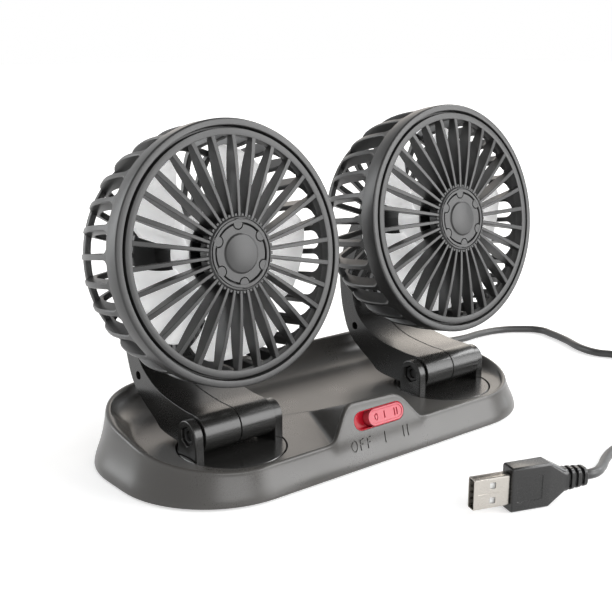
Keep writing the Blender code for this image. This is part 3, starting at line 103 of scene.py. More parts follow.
class FanBaseSettings(bpy.types.PropertyGroup):
    half_length: length("Half length", "Half of the base's length along X", 0.10225)
    half_depth: length("Half depth", "Half of the base's depth along Y", 0.0478)
    corner: length("Corner radius", "Radius of the base's corners in plan", 0.0414)


class FanHeadSettings(bpy.types.PropertyGroup):
    radius: length("Head radius", "Outer radius of the cage's rim", 0.0500)
    rib_count: bpy.props.IntProperty(name="Ribs", description="Number of cage ribs and grille vanes",
                                     default=30, min=6, max=60)
    rib_thickness: length("Rib thickness", "Thickness of one cage rib", 0.0023)
    vane_root: length("Vane root", "Thickness of a grille vane at the hub", 0.0012)
    vane_tip: length("Vane tip", "Thickness of a grille vane at the ring", 0.0019)
    blade_count: bpy.props.IntProperty(name="Blades", description="Number of impeller blades",
                                       default=5, min=2, max=12)


class FanFinishSettings(bpy.types.PropertyGroup):
    base: colour("Base plastic", "Colour of the base moulding", (0.062, 0.059, 0.055))
    arm: colour("Arm plastic", "Colour of the arms and turntables", (0.016, 0.0157, 0.015))
    head: colour("Head plastic", "Colour of the cages and grilles", (0.024, 0.024, 0.024))
    black: colour("Black plastic", "Colour of the rotor hub and the plug", (0.011, 0.011, 0.011))
    blade: colour("Blade plastic", "Colour of the impeller blades", (0.93, 0.935, 0.94))
    red: colour("Switch well", "Colour of the well that the knob slides in", (0.46, 0.010, 0.025))
    knob: colour("Switch knob", "Colour of the sliding knob", (0.52, 0.085, 0.11))
    cord: colour("Cord jacket", "Colour of the cord", (0.035, 0.035, 0.035))
    steel: colour("Steel", "Colour of screws, pins and the plug's shell", (0.47, 0.445, 0.41))
    ground: colour("Ground", "Colour of the floor", (0.80, 0.80, 0.80))


# Mesh helpers


def grid(columns, rows, place):
    """A sheet of quads whose corners place(across, along) sets, both running from 0 to 1."""
    solid = bmesh.new()
    bmesh.ops.create_grid(solid, x_segments=columns, y_segments=rows, size=0.5)
    for vert in solid.verts:
        vert.co = place(min(max(vert.co.x + 0.5, 0.0), 1.0), min(max(vert.co.y + 0.5, 0.0), 1.0))
    return solid


def closed_up(solid, gap=1e-6):
    """Merge what meets, fill what is open and point the faces outwards."""
    bmesh.ops.remove_doubles(solid, verts=solid.verts, dist=gap)
    open_edges = [edge for edge in solid.edges if edge.is_boundary]
    if open_edges:
        bmesh.ops.holes_fill(solid, edges=open_edges, sides=0)
    bmesh.ops.recalc_face_normals(solid, faces=solid.faces)
    return solid


def spun(profile, segments=96, closed=True):
    """Spin a profile of (radius, height) points about Z."""
    solid = bmesh.new()
    verts = [solid.verts.new((radius, 0, height)) for radius, height in profile]
    ends = verts[1:] + verts[:1] if closed else verts[1:]
    edges = [solid.edges.new(pair) for pair in zip(verts, ends)]
    bmesh.ops.spin(solid, geom=verts + edges, cent=(0, 0, 0), axis=(0, 0, 1), angle=2 * pi,
                   steps=segments, use_merge=True)
    bmesh.ops.remove_doubles(solid, verts=solid.verts, dist=1e-6)
    bmesh.ops.recalc_face_normals(solid, faces=solid.faces)
    return solid


def extruded(outline, low, high):
    """Raise a flat outline in X and Y between two heights."""
    solid = bmesh.new()
    face = solid.faces.new([solid.verts.new((x, y, low)) for x, y in outline])
    raised = bmesh.ops.extrude_face_region(solid, geom=[face])["geom"]
    top = [item for item in raised if isinstance(item, bmesh.types.BMVert)]
    bmesh.ops.translate(solid, verts=top, vec=(0, 0, high - low))
    bmesh.ops.recalc_face_normals(solid, faces=solid.faces)
    return solid


def rod(radius, low, high, segments=32):
    """A round bar about Z between two heights."""
    return spun([(0, low), (radius, low), (radius, high), (0, high)], segments, closed=False)


def rectangle(half_x, half_y):
    return [(-half_x, -half_y), (half_x, -half_y), (half_x, half_y), (-half_x, half_y)]


def bridged(loops):
    """Bridge equal rings of points one after another and cap both ends."""
    solid = bmesh.new()
    rings = []
    for loop in loops:
        verts = [solid.verts.new(point) for point in loop]
        rings.append([solid.edges.new(pair) for pair in zip(verts, verts[1:] + verts[:1])])
    for low, high in zip(rings, rings[1:]):
        bmesh.ops.bridge_loops(solid, edges=low + high)
    return closed_up(solid)


def moved(solid, matrix):
    bmesh.ops.transform(solid, matrix=matrix, verts=solid.verts)
    if matrix.determinant() < 0:
        bmesh.ops.reverse_faces(solid, faces=solid.faces)
    return solid


def shifted(solid, x=0, y=0, z=0):
    return moved(solid, Matrix.Translation((x, y, z)))


def merged(*solids):
    """Put several shapes into one bmesh."""
    whole = bmesh.new()
    for solid in solids:
        mesh = bpy.data.meshes.new("merged")
        solid.to_mesh(mesh)
        solid.free()
        whole.from_mesh(mesh)
        bpy.data.meshes.remove(mesh)
    return whole


def arc(centre, radius, start, end, steps):
    angles = [start + (end - start) * step / steps for step in range(steps + 1)]
    return [(centre[0] + radius * cos(a), centre[1] + radius * sin(a)) for a in angles]


def stadium(span, width, steps=16):
    """A round-ended slot outline about the origin, long along X."""
    reach = (span - width) / 2
    return (arc((reach, 0), width / 2, -pi / 2, pi / 2, steps)
            + arc((-reach, 0), width / 2, pi / 2, 3 * pi / 2, steps))


def filleted(points, radius, steps=4, closed=True):
    """Round every corner of an outline; radius is one value or one for each point."""
    count = len(points)
    rounded = []
    for index, point in enumerate(points):
        size = radius[index] if isinstance(radius, (list, tuple)) else radius
        here = Vector(point)
        ends = not closed and index in (0, count - 1)
        before = Vector(points[index - 1]) - here
        after = Vector(points[(index + 1) % count]) - here
        turn = before.angle(after, pi)
        if ends or size <= 0 or turn > radians(176):
            rounded.append(tuple(here))
            continue
        reach = min(size / tan(turn / 2), before.length * 0.49, after.length * 0.49)
        size = reach * tan(turn / 2)
        middle = (before.normalized() + after.normalized()).normalized()
        centre = here + middle * (size / sin(turn / 2))
        first = here + before.normalized() * reach - centre
        last = here + after.normalized() * reach - centre
        swing = first.angle_signed(last)
        for step in range(steps + 1):
            angle = -swing * step / steps
            turned = Vector((first.x * cos(angle) - first.y * sin(angle),
                             first.x * sin(angle) + first.y * cos(angle)))
            rounded.append(tuple(centre + turned))
    return rounded


def curved(points, steps):
    """A smooth curve through points of two or three numbers."""
    knots = [Vector(point) for point in points]
    knots = [2 * knots[0] - knots[1]] + knots + [2 * knots[-1] - knots[-2]]
    path = []
    for a, b, c, d in zip(knots, knots[1:], knots[2:], knots[3:]):
        for step in range(steps):
            t = step / steps
            path.append(0.5 * ((2 * b) + (c - a) * t + (2 * a - 5 * b + 4 * c - d) * t * t
                               + (3 * b - a - 3 * c + d) * t * t * t))
    return path + [knots[-2]]


def between(x, table):
    """Read a table of (place, value) points with straight lines between them."""
    if x <= table[0][0]:
        return table[0][1]
    for (x0, y0), (x1, y1) in zip(table, table[1:]):
        if x <= x1:
            return y0 + (y1 - y0) * (x - x0) / (x1 - x0)
    return table[-1][1]


def softened(x, table, reach, steps=6):
    """The same table averaged over a stretch, which rounds its corners."""
    total = sum(between(x + reach * (2 * step / steps - 1), table) for step in range(steps + 1))
    return total / (steps + 1)


def soft_least(values, blend):
    """The least of some values, rounded off where two are close."""
    least = min(values)
    return least - blend * sum(max(0.0, 1 - (value - least) / blend) ** 2 for value in values) / 6 + blend / 6


def soft_most(one, two, blend):
    gap = max(0.0, 1 - abs(one - two) / blend)
    return max(one, two) + blend * gap * gap / 4


def bevelled(piece, width, segments=3, limit=radians(35)):
    """Give a piece's sharp edges a small round."""
    modifier = piece.modifiers.new("edges", "BEVEL")
    modifier.width = width
    modifier.segments = segments
    modifier.limit_method = "ANGLE"
    modifier.angle_limit = limit
    modifier.use_clamp_overlap = True
    return piece


def carve(piece, tool, name):
    """Cut a closed shape out of a piece at once."""
    mesh = bpy.data.meshes.new(name)
    tool.to_mesh(mesh)
    tool.free()
    cutter = bpy.data.objects.new(name, mesh)
    bpy.context.scene.collection.objects.link(cutter)
    modifier = piece.modifiers.new(name, "BOOLEAN")
    modifier.operation = "DIFFERENCE"
    modifier.solver = "EXACT"
    modifier.object = cutter
    graph = bpy.context.evaluated_depsgraph_get()
    cut = bpy.data.meshes.new_from_object(piece.evaluated_get(graph))
    piece.modifiers.remove(modifier)
    old = piece.data
    piece.data = cut
    bpy.data.meshes.remove(old)
    bpy.data.objects.remove(cutter)
    bpy.data.meshes.remove(mesh)
    return piece


def shaded(piece, crease=radians(30)):
    piece.data.shade_smooth()
    piece.data.set_sharp_from_angle(angle=crease)
    return piece


def make_piece(name, solid, finish, body, replaces=(), crease=radians(30)):
    """Link a bmesh as a named piece that rides on a body."""
    mesh = bpy.data.meshes.new(name)
    solid.to_mesh(mesh)
    solid.free()
    mesh.materials.append(finish)
    piece = bpy.data.objects.new(name, mesh)
    bpy.context.scene.collection.objects.link(piece)
    shaded(piece, crease)
    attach(piece, body)
    if replaces:
        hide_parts(*replaces)
    return piece


def side_x(side):
    return -FAN_X if side == "left" else FAN_X


def at_turntable(side):
    return Matrix.Translation((side_x(side), FAN_LINE, FLOOR_TOP))


def at_hinge(side):
    return at_turntable(side) @ Matrix.Translation((0, HINGE_OFFSET, HINGE_RISE))


def at_head(side):
    """The head's own frame: Z runs back along its axis from the plane of the rim's groove."""
    pivot = at_hinge(side) @ Matrix.Translation((0, ARM_REACH, ARM_RISE))
    return pivot @ Matrix.Rotation(-TILT[side], 4, "X") @ Matrix.Translation((0, -PIVOT_BEHIND, 0)) @ BACK


def at_panel():
    y = -bpy.context.scene.fan_base.half_depth + WELL_HEIGHT * tan(PANEL_LEAN)
    return Matrix.Translation((WELL_X, y, WELL_HEIGHT)) @ Matrix.Rotation(-PANEL_LEAN, 4, "X") @ FACING


# Finishes

GRAIN_HEIGHT = 0.00006
SCRATCH_HEIGHT = 0.00004
MOTTLE_SCALE = 38.0
EDGE_FLAT = 0.995
EDGE_SHARP = 0.86
SPECULAR = "Specular IOR Level"
# The white emission here is a painted glow that stands in for light falling through the thin milky blades;
# the subsurface part is the plastic's own translucency
TRANSLUCENT_WITH_PAINTED_GLOW = {"Subsurface Weight": 1.0, "Subsurface Scale": 0.004, "Subsurface Radius": (1.0, 1.0, 1.0),
               "Emission Strength": 0.22, "Emission Color": (1.0, 1.0, 1.0, 1.0)}

# Each plastic: its name, its colour or the setting that holds it, its roughness and what differs
PLASTICS = {
    "base": ("Satin base moulding", "base", 0.30, {"depth": 0.10, "gain": 0.2}),
    "arm": ("Satin arm moulding", "arm", 0.25, {"depth": 0.08, "gain": 0.6}),
    "head": ("Matt head moulding", "head", 0.36, {"depth": 0.14, "gain": 0.6}),
    "vane": ("Matt grille moulding", "head", 0.34,
             {"depth": 0.12, "gain": 0.6, "width": 0.0003, SPECULAR: 0.42}),
    "black": ("Gloss black moulding", "black", 0.26, {"mottle": 0.14, "depth": 0.06, "gain": 1.2}),
    "under": ("Plain black moulding", "black", 0.46, {"mottle": 0.2, "depth": 0.3, "gain": 0.9}),
    # Milky blades and sleeve, with the painted glow of the white emission set above
    "blade": ("Milky blade plastic with painted glow", "blade", 0.30,
              {"mottle": 0.03, "depth": 0.05, "gain": 0.03, **TRANSLUCENT_WITH_PAINTED_GLOW}),
    "red": ("Red well plastic", "red", 0.24, {"mottle": 0.06, "depth": 0.05, "gain": 0.2, SPECULAR: 0.2}),
    "knob": ("Light red knob plastic", "knob", 0.24,
             {"mottle": 0.05, "depth": 0.05, "gain": 0.12, "width": 0.0002, SPECULAR: 0.3}),
    "cord": ("Cord jacket", "cord", 0.40, {"mottle": 0.16, "depth": 0.25, "gain": 0.0, "scale": 1700.0}),
    "rubber": ("Foot rubber", "black", 0.75, {"mottle": 0.3, "depth": 0.5, "gain": 0.4, "scale": 1800.0}),
    "tongue": ("White plug tongue", (0.74, 0.74, 0.73), 0.40, {"mottle": 0.04, "gain": 0.05}),
    "board": ("Green laminate", (0.02, 0.14, 0.06), 0.40, {"mottle": 0.25, "depth": 0.2}),
}


def fed(tree, made, inputs):
    """Give each input its value, or a link where the value is another node's socket."""
    for key, value in inputs.items():
        if isinstance(value, bpy.types.NodeSocket):
            tree.links.new(value, made.inputs[key])
        else:
            made.inputs[key].default_value = value
    return made


def node(tree, kind, inputs, operation=None):
    """Add a shader node with its inputs set or linked."""
    made = tree.nodes.new(f"ShaderNode{kind}")
    if operation:
        made.operation = operation
    return fed(tree, made, inputs)


def math_node(tree, operation, *values):
    return node(tree, "Math", dict(enumerate(values)), operation).outputs[0]


def noise(tree, place, scale, detail):
    return node(tree, "TexNoise", {"Vector": place, "Scale": scale, "Detail": detail}).outputs["Fac"]


def surface_group(name, inputs):
    """A shader group with named inputs, and with a colour, a roughness and a normal as outputs."""
    group = bpy.data.node_groups.new(name, "ShaderNodeTree")
    for label, (kind, value) in inputs.items():
        made = group.interface.new_socket(name=label, in_out="INPUT", socket_type=f"NodeSocket{kind}")
        made.default_value = value
    for label, kind in (("Colour", "Color"), ("Roughness", "Float"), ("Normal", "Vector")):
        group.interface.new_socket(name=label, in_out="OUTPUT", socket_type=f"NodeSocket{kind}")
    return group, group.nodes.new("NodeGroupInput").outputs, group.nodes.new("NodeGroupOutput")


def moulded_group():
    """Fine moulded grain, a slow mottle and paler edges, partly rubbed wear and partly a painted edge
    highlight, shared by every plastic.
    """
    tree, given, out = surface_group("Moulded surface", {
        "Colour": ("Color", (0.1, 0.1, 0.1, 1.0)), "Edge Gain": ("Float", 0.3),
        "Edge Width": ("Float", 0.0004), "Roughness": ("Float", 0.4), "Grain Scale": ("Float", 2600.0),
        "Grain Depth": ("Float", 0.08), "Mottle": ("Float", 0.08)})
    place = node(tree, "TexCoord", {}).outputs["Object"]
    grain = noise(tree, place, given["Grain Scale"], 3.0)
    bump = node(tree, "Bump", {"Distance": GRAIN_HEIGHT, "Strength": given["Grain Depth"], "Height": grain})
    slow = math_node(tree, "SUBTRACT", noise(tree, place, MOTTLE_SCALE, 4.0), 0.5)
    both = math_node(tree, "MULTIPLY_ADD", math_node(tree, "SUBTRACT", grain, 0.5), 0.6, slow)
    mottle = math_node(tree, "MULTIPLY_ADD", both, given["Mottle"], 1.0)
    rounded = node(tree, "Bevel", {"Radius": given["Edge Width"]})
    rounded.samples = 4
    flat = node(tree, "NewGeometry", {}).outputs["Normal"]
    facing = node(tree, "VectorMath", {0: rounded.outputs["Normal"], 1: flat}, "DOT_PRODUCT").outputs["Value"]
    # Edge Gain lightens the colour at edges: partly rubbed wear, partly a painted highlight where a rounded
    # edge would catch the light
    edge = node(tree, "MapRange", {"Value": facing, "From Min": EDGE_FLAT, "From Max": EDGE_SHARP})
    gain = math_node(tree, "MULTIPLY_ADD", edge.outputs["Result"], given["Edge Gain"], mottle)
    tint = node(tree, "VectorMath", {0: given["Colour"], "Scale": gain}, "SCALE")
    sheen = math_node(tree, "MULTIPLY_ADD", both, 0.16, given["Roughness"])
    fed(tree, out, {"Colour": tint.outputs["Vector"], "Roughness": sheen, "Normal": bump.outputs["Normal"]})
    return tree


def brushed_group():
    """Fine scratches along one way, for steel."""
    tree, given, out = surface_group("Brushed metal", {
        "Colour": ("Color", (0.6, 0.6, 0.6, 1.0)), "Roughness": ("Float", 0.25),
        "Stretch": ("Vector", (150.0, 4000.0, 4000.0)), "Scratch Depth": ("Float", 0.1)})
    place = node(tree, "TexCoord", {}).outputs["Object"]
    stretch = node(tree, "VectorMath", {0: place, 1: given["Stretch"]}, "MULTIPLY").outputs["Vector"]
    scratch = noise(tree, stretch, 1.0, 3.0)
    bump = node(tree, "Bump",
                {"Distance": SCRATCH_HEIGHT, "Strength": given["Scratch Depth"], "Height": scratch})
    tone = math_node(tree, "MULTIPLY_ADD", scratch, 0.24, 0.88)
    tint = node(tree, "VectorMath", {0: given["Colour"], "Scale": tone}, "SCALE")
    sheen = math_node(tree, "MULTIPLY_ADD", scratch, 0.18, given["Roughness"])
    fed(tree, out, {"Colour": tint.outputs["Vector"], "Roughness": sheen, "Normal": bump.outputs["Normal"]})
    return tree


def shared_group(name, make):
    return bpy.data.node_groups.get(name) or make()


def surfaced(name, group, values, sockets):
    """A Principled material fed by a shared group; sockets are set on the shader itself."""
    found = bpy.data.materials.get(name)
    if found:
        return found
    made = bpy.data.materials.new(name)
    made.use_nodes = True
    tree = made.node_tree
    surface = tree.nodes.new("ShaderNodeGroup")
    surface.node_tree = group
    looks = fed(tree, surface, values).outputs
    fed(tree, tree.nodes["Principled BSDF"], {"Base Color": looks["Colour"], "Roughness": looks["Roughness"],
                                              "Normal": looks["Normal"], **sockets})
    return made


def plastic(name, tint, roughness, mottle=0.10, depth=0.10, gain=0.35, width=0.0004, scale=2600.0, **sockets):
    values = {"Colour": (*tint, 1.0), "Roughness": roughness, "Mottle": mottle, "Grain Depth": depth,
              "Edge Gain": gain, "Edge Width": width, "Grain Scale": scale}
    return surfaced(name, shared_group("Moulded surface", moulded_group), values, sockets)


def finish_named(name):
    """The finish of one part of the fan."""
    look = bpy.context.scene.fan_finish
    if name == "steel":
        brushed = shared_group("Brushed metal", brushed_group)
        values = {"Colour": (*look.steel, 1.0), "Roughness": 0.16}
        return surfaced("Bright steel", brushed, values, {"Metallic": 1.0})
    title, tint, roughness, rest = PLASTICS[name]
    return plastic(title, getattr(look, tint) if isinstance(tint, str) else tint, roughness, **rest)


def dressed(nodes, finish):
    """Give solids that stay visible a finish of their own."""
    for name in nodes:
        for holder in bpy.data.objects[name].material_slots:
            holder.material = finish


# Stage: floor, world, lamps and the camera at the photograph's angle

CAMERA_PLACE = (-0.2717, -0.3268, 0.1675)
CAMERA_TURN = (radians(75.26), 0.0, radians(-38.94))
CAMERA_LENS = 59.83
LAMPS = (
    ("front_right_panel", (0.72, -0.92, 0.36), (0.70, 1.00), 13.0, (1.0, 1.0, 1.0)),
    ("back_right_panel", (0.95, 0.55, 0.62), (0.40, 0.40), 1.4, (1.0, 0.91, 0.80)),
    ("back_panel", (0.68, 0.92, 0.42), (0.70, 0.40), 0.8, (1.0, 0.85, 0.70)),
    ("top_panel", (0.90, -0.28, 0.80), (0.36, 0.36), 4.6, (1.0, 1.0, 1.0)),
    ("front_panel", (-0.25, -1.10, 0.50), (0.80, 0.60), 4.5, (1.0, 1.0, 1.0)),
    ("back_left_panel", (-0.70, 0.88, 0.42), (0.50, 0.80), 5.0, (0.97, 0.99, 1.0)),
    ("right_panel", (1.20, -0.10, 0.25), (0.40, 0.40), 1.6, (0.93, 0.97, 1.0)),
)
CEILING_START = 0.50
CEILING_END = 0.80
CEILING_LEVEL = 0.30
FILL_LEVEL = 0.36
GLOW_START = 0.20
GLOW_END = 1.00
GLOW_NEAR = 0.50
FLOOR_SIZE = 6.0


def seen_by(tree, value, *rays):
    """A value, raised to one where a ray of one of these kinds looks."""
    path = node(tree, "LightPath", {}).outputs
    for kind in rays:
        value = math_node(tree, "MAXIMUM", value, path[f"Is {kind} Ray"])
    return value


def ground_finish():
    """A pale floor that glows a little to the eye, more so away from the object."""
    made = bpy.data.materials.new("Pale studio floor")
    made.use_nodes = True
    tree = made.node_tree
    place = node(tree, "TexCoord", {}).outputs["Object"]
    patches = node(tree, "TexNoise", {"Vector": place, "Scale": 6.0}).outputs["Fac"]
    ramp = node(tree, "MapRange", {"Value": patches, "To Min": 0.97}).outputs["Result"]
    tint = node(tree, "VectorMath", {0: bpy.context.scene.fan_finish.ground, "Scale": ramp}, "SCALE")
    away = node(tree, "VectorMath", {0: place}, "LENGTH").outputs["Value"]
    spread = node(tree, "MapRange", {"Value": away, "From Min": GLOW_START, "From Max": GLOW_END,
                                     "To Min": GLOW_NEAR, "To Max": 1.0})
    seen = seen_by(tree, 0.0, "Camera", "Glossy", "Transmission")
    fed(tree, tree.nodes["Principled BSDF"], {
        "Roughness": 0.7, "Base Color": tint.outputs["Vector"], "Emission Color": (1.0, 1.0, 1.0, 1.0),
        "Emission Strength": math_node(tree, "MULTIPLY", seen, spread.outputs["Result"])})
    return made


def make_world():
    """A white world to the eye, plain for lighting, that dims towards the zenith in reflections."""
    world = bpy.data.worlds.new("white studio")
    world.use_nodes = True
    tree = world.node_tree
    way = node(tree, "SeparateXYZ", {"Vector": node(tree, "TexCoord", {}).outputs["Generated"]})
    ceiling = node(tree, "MapRange", {"Value": way.outputs["Z"], "From Min": CEILING_START,
                                      "From Max": CEILING_END, "To Min": 1.0, "To Max": CEILING_LEVEL})
    glossy = node(tree, "LightPath", {}).outputs["Is Glossy Ray"]
    mirrored = math_node(tree, "MULTIPLY", ceiling.outputs["Result"], glossy)
    level = math_node(tree, "MAXIMUM", mirrored, FILL_LEVEL)
    fed(tree, tree.nodes["Background"], {"Color": (1.0, 1.0, 1.0, 1.0),
                                         "Strength": seen_by(tree, level, "Camera", "Transmission")})
    return world


def make_stage():
    """A pale floor, a white world and seven soft panels of light."""
    scene = bpy.context.scene
    ground = bmesh.new()
    bmesh.ops.create_grid(ground, x_segments=1, y_segments=1, size=FLOOR_SIZE)
    mesh = bpy.data.meshes.new("floor")
    ground.to_mesh(mesh)
    ground.free()
    mesh.materials.append(ground_finish())
    sheet = bpy.data.objects.new("floor", mesh)
    scene.collection.objects.link(sheet)
    scene.world = make_world()
    for name, place, size, power, tint in LAMPS:
        light = bpy.data.lights.new(name, "AREA")
        light.shape = "RECTANGLE"
        light.size, light.size_y = size
        light.energy = power
        light.color = tint
        lamp = bpy.data.objects.new(name, light)
        lamp.location = place
        lamp.rotation_euler = (-Vector(place)).to_track_quat("-Z", "Y").to_euler()
        scene.collection.objects.link(lamp)
    scene.view_settings.view_transform = "Standard"


def make_camera():
    view = bpy.data.cameras.new("camera")
    view.sensor_width = 36.0
    view.lens = CAMERA_LENS
    view.clip_start = 0.01
    camera = bpy.data.objects.new("camera", view)
    camera.location = CAMERA_PLACE
    camera.rotation_euler = Euler(CAMERA_TURN)
    bpy.context.scene.collection.objects.link(camera)
    bpy.context.scene.camera = camera


# Cord: out of the back wall, past the right end, into a coil and back to the plug

CORD_DIAMETER = 0.0039
RELIEF_LENGTH = 0.0100
CORD_HOLE_RADIUS = 0.0030
BACK_ROUTE = ((0.0568, 0.0680, 0.0045), (0.0650, 0.0765, 0.0025), (0.0790, 0.0775, 0.00215),
              (0.1010, 0.0665, 0.00215), (0.1240, 0.0550, 0.00215), (0.1465, 0.0495, 0.00215),
              (0.1623, 0.0500, 0.00215), (0.1771, 0.0477, 0.00215), (0.1880, 0.0417, 0.00215),
              (0.1954, 0.0329, 0.00215), (0.1941, 0.0231, 0.00215), (0.1907, 0.0114, 0.00215),
              (0.1840, -0.0058, 0.00215), (0.1841, -0.0155, 0.00215), (0.1877, -0.0220, 0.00215),
              (0.1905, -0.0350, 0.00215), (0.1860, -0.0550, 0.00215))
PLUG_ROUTE = ((0.1200, -0.1130, 0.0040), (0.1050, -0.1060, 0.00215), (0.0900, -0.1000, 0.00215),
              (0.0740, -0.1020, 0.0028), (0.0600, -0.1075, 0.0045), (0.0470, -0.1145, 0.0068))
COIL_PLACE = (0.1500, -0.0880, 0.00215)
COIL_OUTER_RADIUS = 0.0280
COIL_PITCH = 0.0044
COIL_LAYER_RISE = 0.00435
COIL_TURNS_IN = 3
COIL_TURNS_OUT = 2.75
COIL_POINTS = 24
PLUG_PLACE = (0.0322, -0.1171, 0.0087)
PLUG_TURN = radians(-18.7)
PLUG_NECK_LENGTH = 0.0100
PLUG_NECK_WIDTH = 0.0072
PLUG_NECK_THICKNESS = 0.0066
PLUG_ROOT_WIDTH = 0.0092
PLUG_BODY = (0.0175, 0.0332)
PLUG_BODY_WIDTH = 0.0174
PLUG_BODY_THICKNESS = 0.0076
SHELL = (0.0335, 0.0480)
SHELL_WIDTH = 0.0120
SHELL_THICKNESS = 0.0045
SHELL_METAL = 0.0004
SHELL_WINDOW = 0.0012
WINDOW_BACK = 0.0076
WINDOW_HEIGHT = 0.0029
SHELL_SEAM = (0.0055, 0.00006)
GRIP_PANEL = (0.0053, 0.0048)
CONTACT = (0.0044, 0.0005)


def relief_mouth():
    """Where the cord leaves the back wall."""
    lean = WALL_LEAN * (1 - exp(-(CORD_EXIT[2] - WALL_UPRIGHT) / WALL_LEAN_FALL)) * BACK_LEAN_SHARE
    return Vector((CORD_EXIT[0], bpy.context.scene.fan_base.half_depth - lean, CORD_EXIT[2]))


def at_plug():
    """X runs from the cord to the plug's tip, Z up its width."""
    return Matrix.Translation(PLUG_PLACE) @ Matrix.Rotation(pi + PLUG_TURN, 4, "Z")


def coil_points():
    """Loops that spiral in on the floor, climb half a turn and spiral out again on top."""
    steps_in = COIL_POINTS * COIL_TURNS_IN
    steps_climb = COIL_POINTS // 2
    steps_out = round(COIL_POINTS * COIL_TURNS_OUT)
    turn_back = steps_in + steps_climb / 2
    route = []
    for step in range(steps_in + steps_climb + steps_out + 1):
        angle = -2 * pi * step / COIL_POINTS
        wound = turn_back - abs(step - turn_back)
        radius = COIL_OUTER_RADIUS - COIL_PITCH * wound / COIL_POINTS
        climb = min(max((step - steps_in) / steps_climb, 0.0), 1.0)
        height = COIL_LAYER_RISE * (1 - cos(pi * climb)) / 2
        route.append(Vector(COIL_PLACE) + Vector((radius * cos(angle), radius * sin(angle), height)))
    return route


def cord_route():
    mouth = relief_mouth()
    start = mouth + Vector((0, RELIEF_LENGTH - 0.5 * CORD_DIAMETER, 0))
    coil = coil_points()
    before = coil[0] + Vector((0, 2 * CORD_DIAMETER, 0))
    after = coil[-1] + Vector((-3 * CORD_DIAMETER, 0, 0))
    plug = at_plug()
    route = [start, mouth + Vector((0, RELIEF_LENGTH + CORD_DIAMETER, 0))]
    route += [Vector(place) for place in BACK_ROUTE] + [before] + coil + [after]
    route += [Vector(place) for place in PLUG_ROUTE]
    return route + [plug @ Vector((-CORD_DIAMETER, 0, 0)), plug @ Vector((0.5 * CORD_DIAMETER, 0, 0))]


def make_cord():
    """The whole cord as one round curve."""
    route = cord_route()
    curve = bpy.data.curves.new("cord", "CURVE")
    curve.dimensions = "3D"
    curve.bevel_depth = CORD_DIAMETER / 2
    curve.bevel_resolution = 5
    curve.resolution_u = 6
    curve.use_fill_caps = True
    line = curve.splines.new("BEZIER")
    line.bezier_points.add(len(route) - 1)
    for knot, place in zip(line.bezier_points, route):
        knot.co = place
        knot.handle_left_type = "AUTO"
        knot.handle_right_type = "AUTO"
    curve.materials.append(finish_named("cord"))
    cord = bpy.data.objects.new("cord", curve)
    bpy.context.scene.collection.objects.link(cord)
    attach(cord, "base")
    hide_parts("cord_back_run", "cord_coil", "cord_plug_run")
    return cord, route[0]


def rounded_section(x, width, thickness, radius, steps=5):
    """A rounded rectangle across the plug's length, thickness along Y and width along Z."""
    loop = []
    for side_y, side_z, start in ((1, 1, 0), (-1, 1, pi / 2), (-1, -1, pi), (1, -1, 3 * pi / 2)):
        centre = (side_y * (thickness / 2 - radius), side_z * (width / 2 - radius))
        loop += [(x, y, z) for y, z in arc(centre, radius, start, start + pi / 2, steps)]
    return loop


def make_relief():
    """The ribbed sleeve that the cord comes out of."""
    profile = [(0.0, -0.0042), (0.0031, -0.0042), (0.0031, -0.0027), (0.0027, -0.0027), (0.0027, 0.0008)]
    for ring in range(4):
        low = 0.0014 + 0.0020 * ring
        swell = 0.0027 - 0.0001 * ring
        profile += [(swell - 0.0005, low), (swell - 0.0005, low + 0.0006), (swell, low + 0.0009),
                    (swell, low + 0.0016)]
    profile += [(0.0023, RELIEF_LENGTH - 0.0003), (0.0020, RELIEF_LENGTH), (0.0, RELIEF_LENGTH)]
    sleeve = moved(spun(profile, 48, closed=False), Matrix.Translation(relief_mouth()) @ BACK)
    return make_piece("strain_relief", sleeve, finish_named("cord"), "base", ["cord_strain_relief"])


def make_overmould():
    """Ridged neck, taper and moulded grip with a shallow panel on each face."""
    widening = (PLUG_ROOT_WIDTH - PLUG_NECK_WIDTH) / PLUG_NECK_LENGTH
    stations = [(0.0, 0.0010), (0.0004, 0.0)]
    for ring in range(3):
        end = 0.0017 + 0.0028 * ring
        stations += [(end, 0.0), (end + 0.0003, 0.0018), (end + 0.0011, 0.0018), (end + 0.0014, 0.0)]
    loops = [rounded_section(x, PLUG_NECK_WIDTH + widening * x - less, PLUG_NECK_THICKNESS - less, 0.0023)
             for x, less in stations]
    for share in (0.0, 0.06, 0.5, 0.94, 1.0):
        x = PLUG_NECK_LENGTH + (PLUG_BODY[0] - PLUG_NECK_LENGTH) * share
        width = PLUG_ROOT_WIDTH + (PLUG_BODY_WIDTH - PLUG_ROOT_WIDTH) * share
        thickness = PLUG_NECK_THICKNESS + (PLUG_BODY_THICKNESS - PLUG_NECK_THICKNESS) * share
        loops.append(rounded_section(x, width, thickness, 0.0024 - 0.0014 * share))
    loops.append(rounded_section(PLUG_BODY[1] - 0.0004, PLUG_BODY_WIDTH, PLUG_BODY_THICKNESS, 0.0012))
    loops.append(rounded_section(PLUG_BODY[1], PLUG_BODY_WIDTH - 0.0008, PLUG_BODY_THICKNESS - 0.0008,
                                 0.0010))
    grip = make_piece("plug_grip", bridged(loops), finish_named("black"), "base", ["plug_overmould"],
                      radians(40))
    middle = (PLUG_BODY[0] + PLUG_BODY[1]) / 2 + 0.0004
    for side in (-1, 1):
        panel = filleted(rectangle(*GRIP_PANEL), 0.0007, 4)
        face = Matrix.Translation((middle, side * PLUG_BODY_THICKNESS / 2, 0))
        face = face @ Matrix.Rotation(pi / 2, 4, "X")
        carve(grip, moved(extruded(panel, -0.0003, 0.0003), face), "panel")
    bevelled(grip, 0.00018, 2)
    grip.data.transform(at_plug())
    return shaded(grip, radians(40))


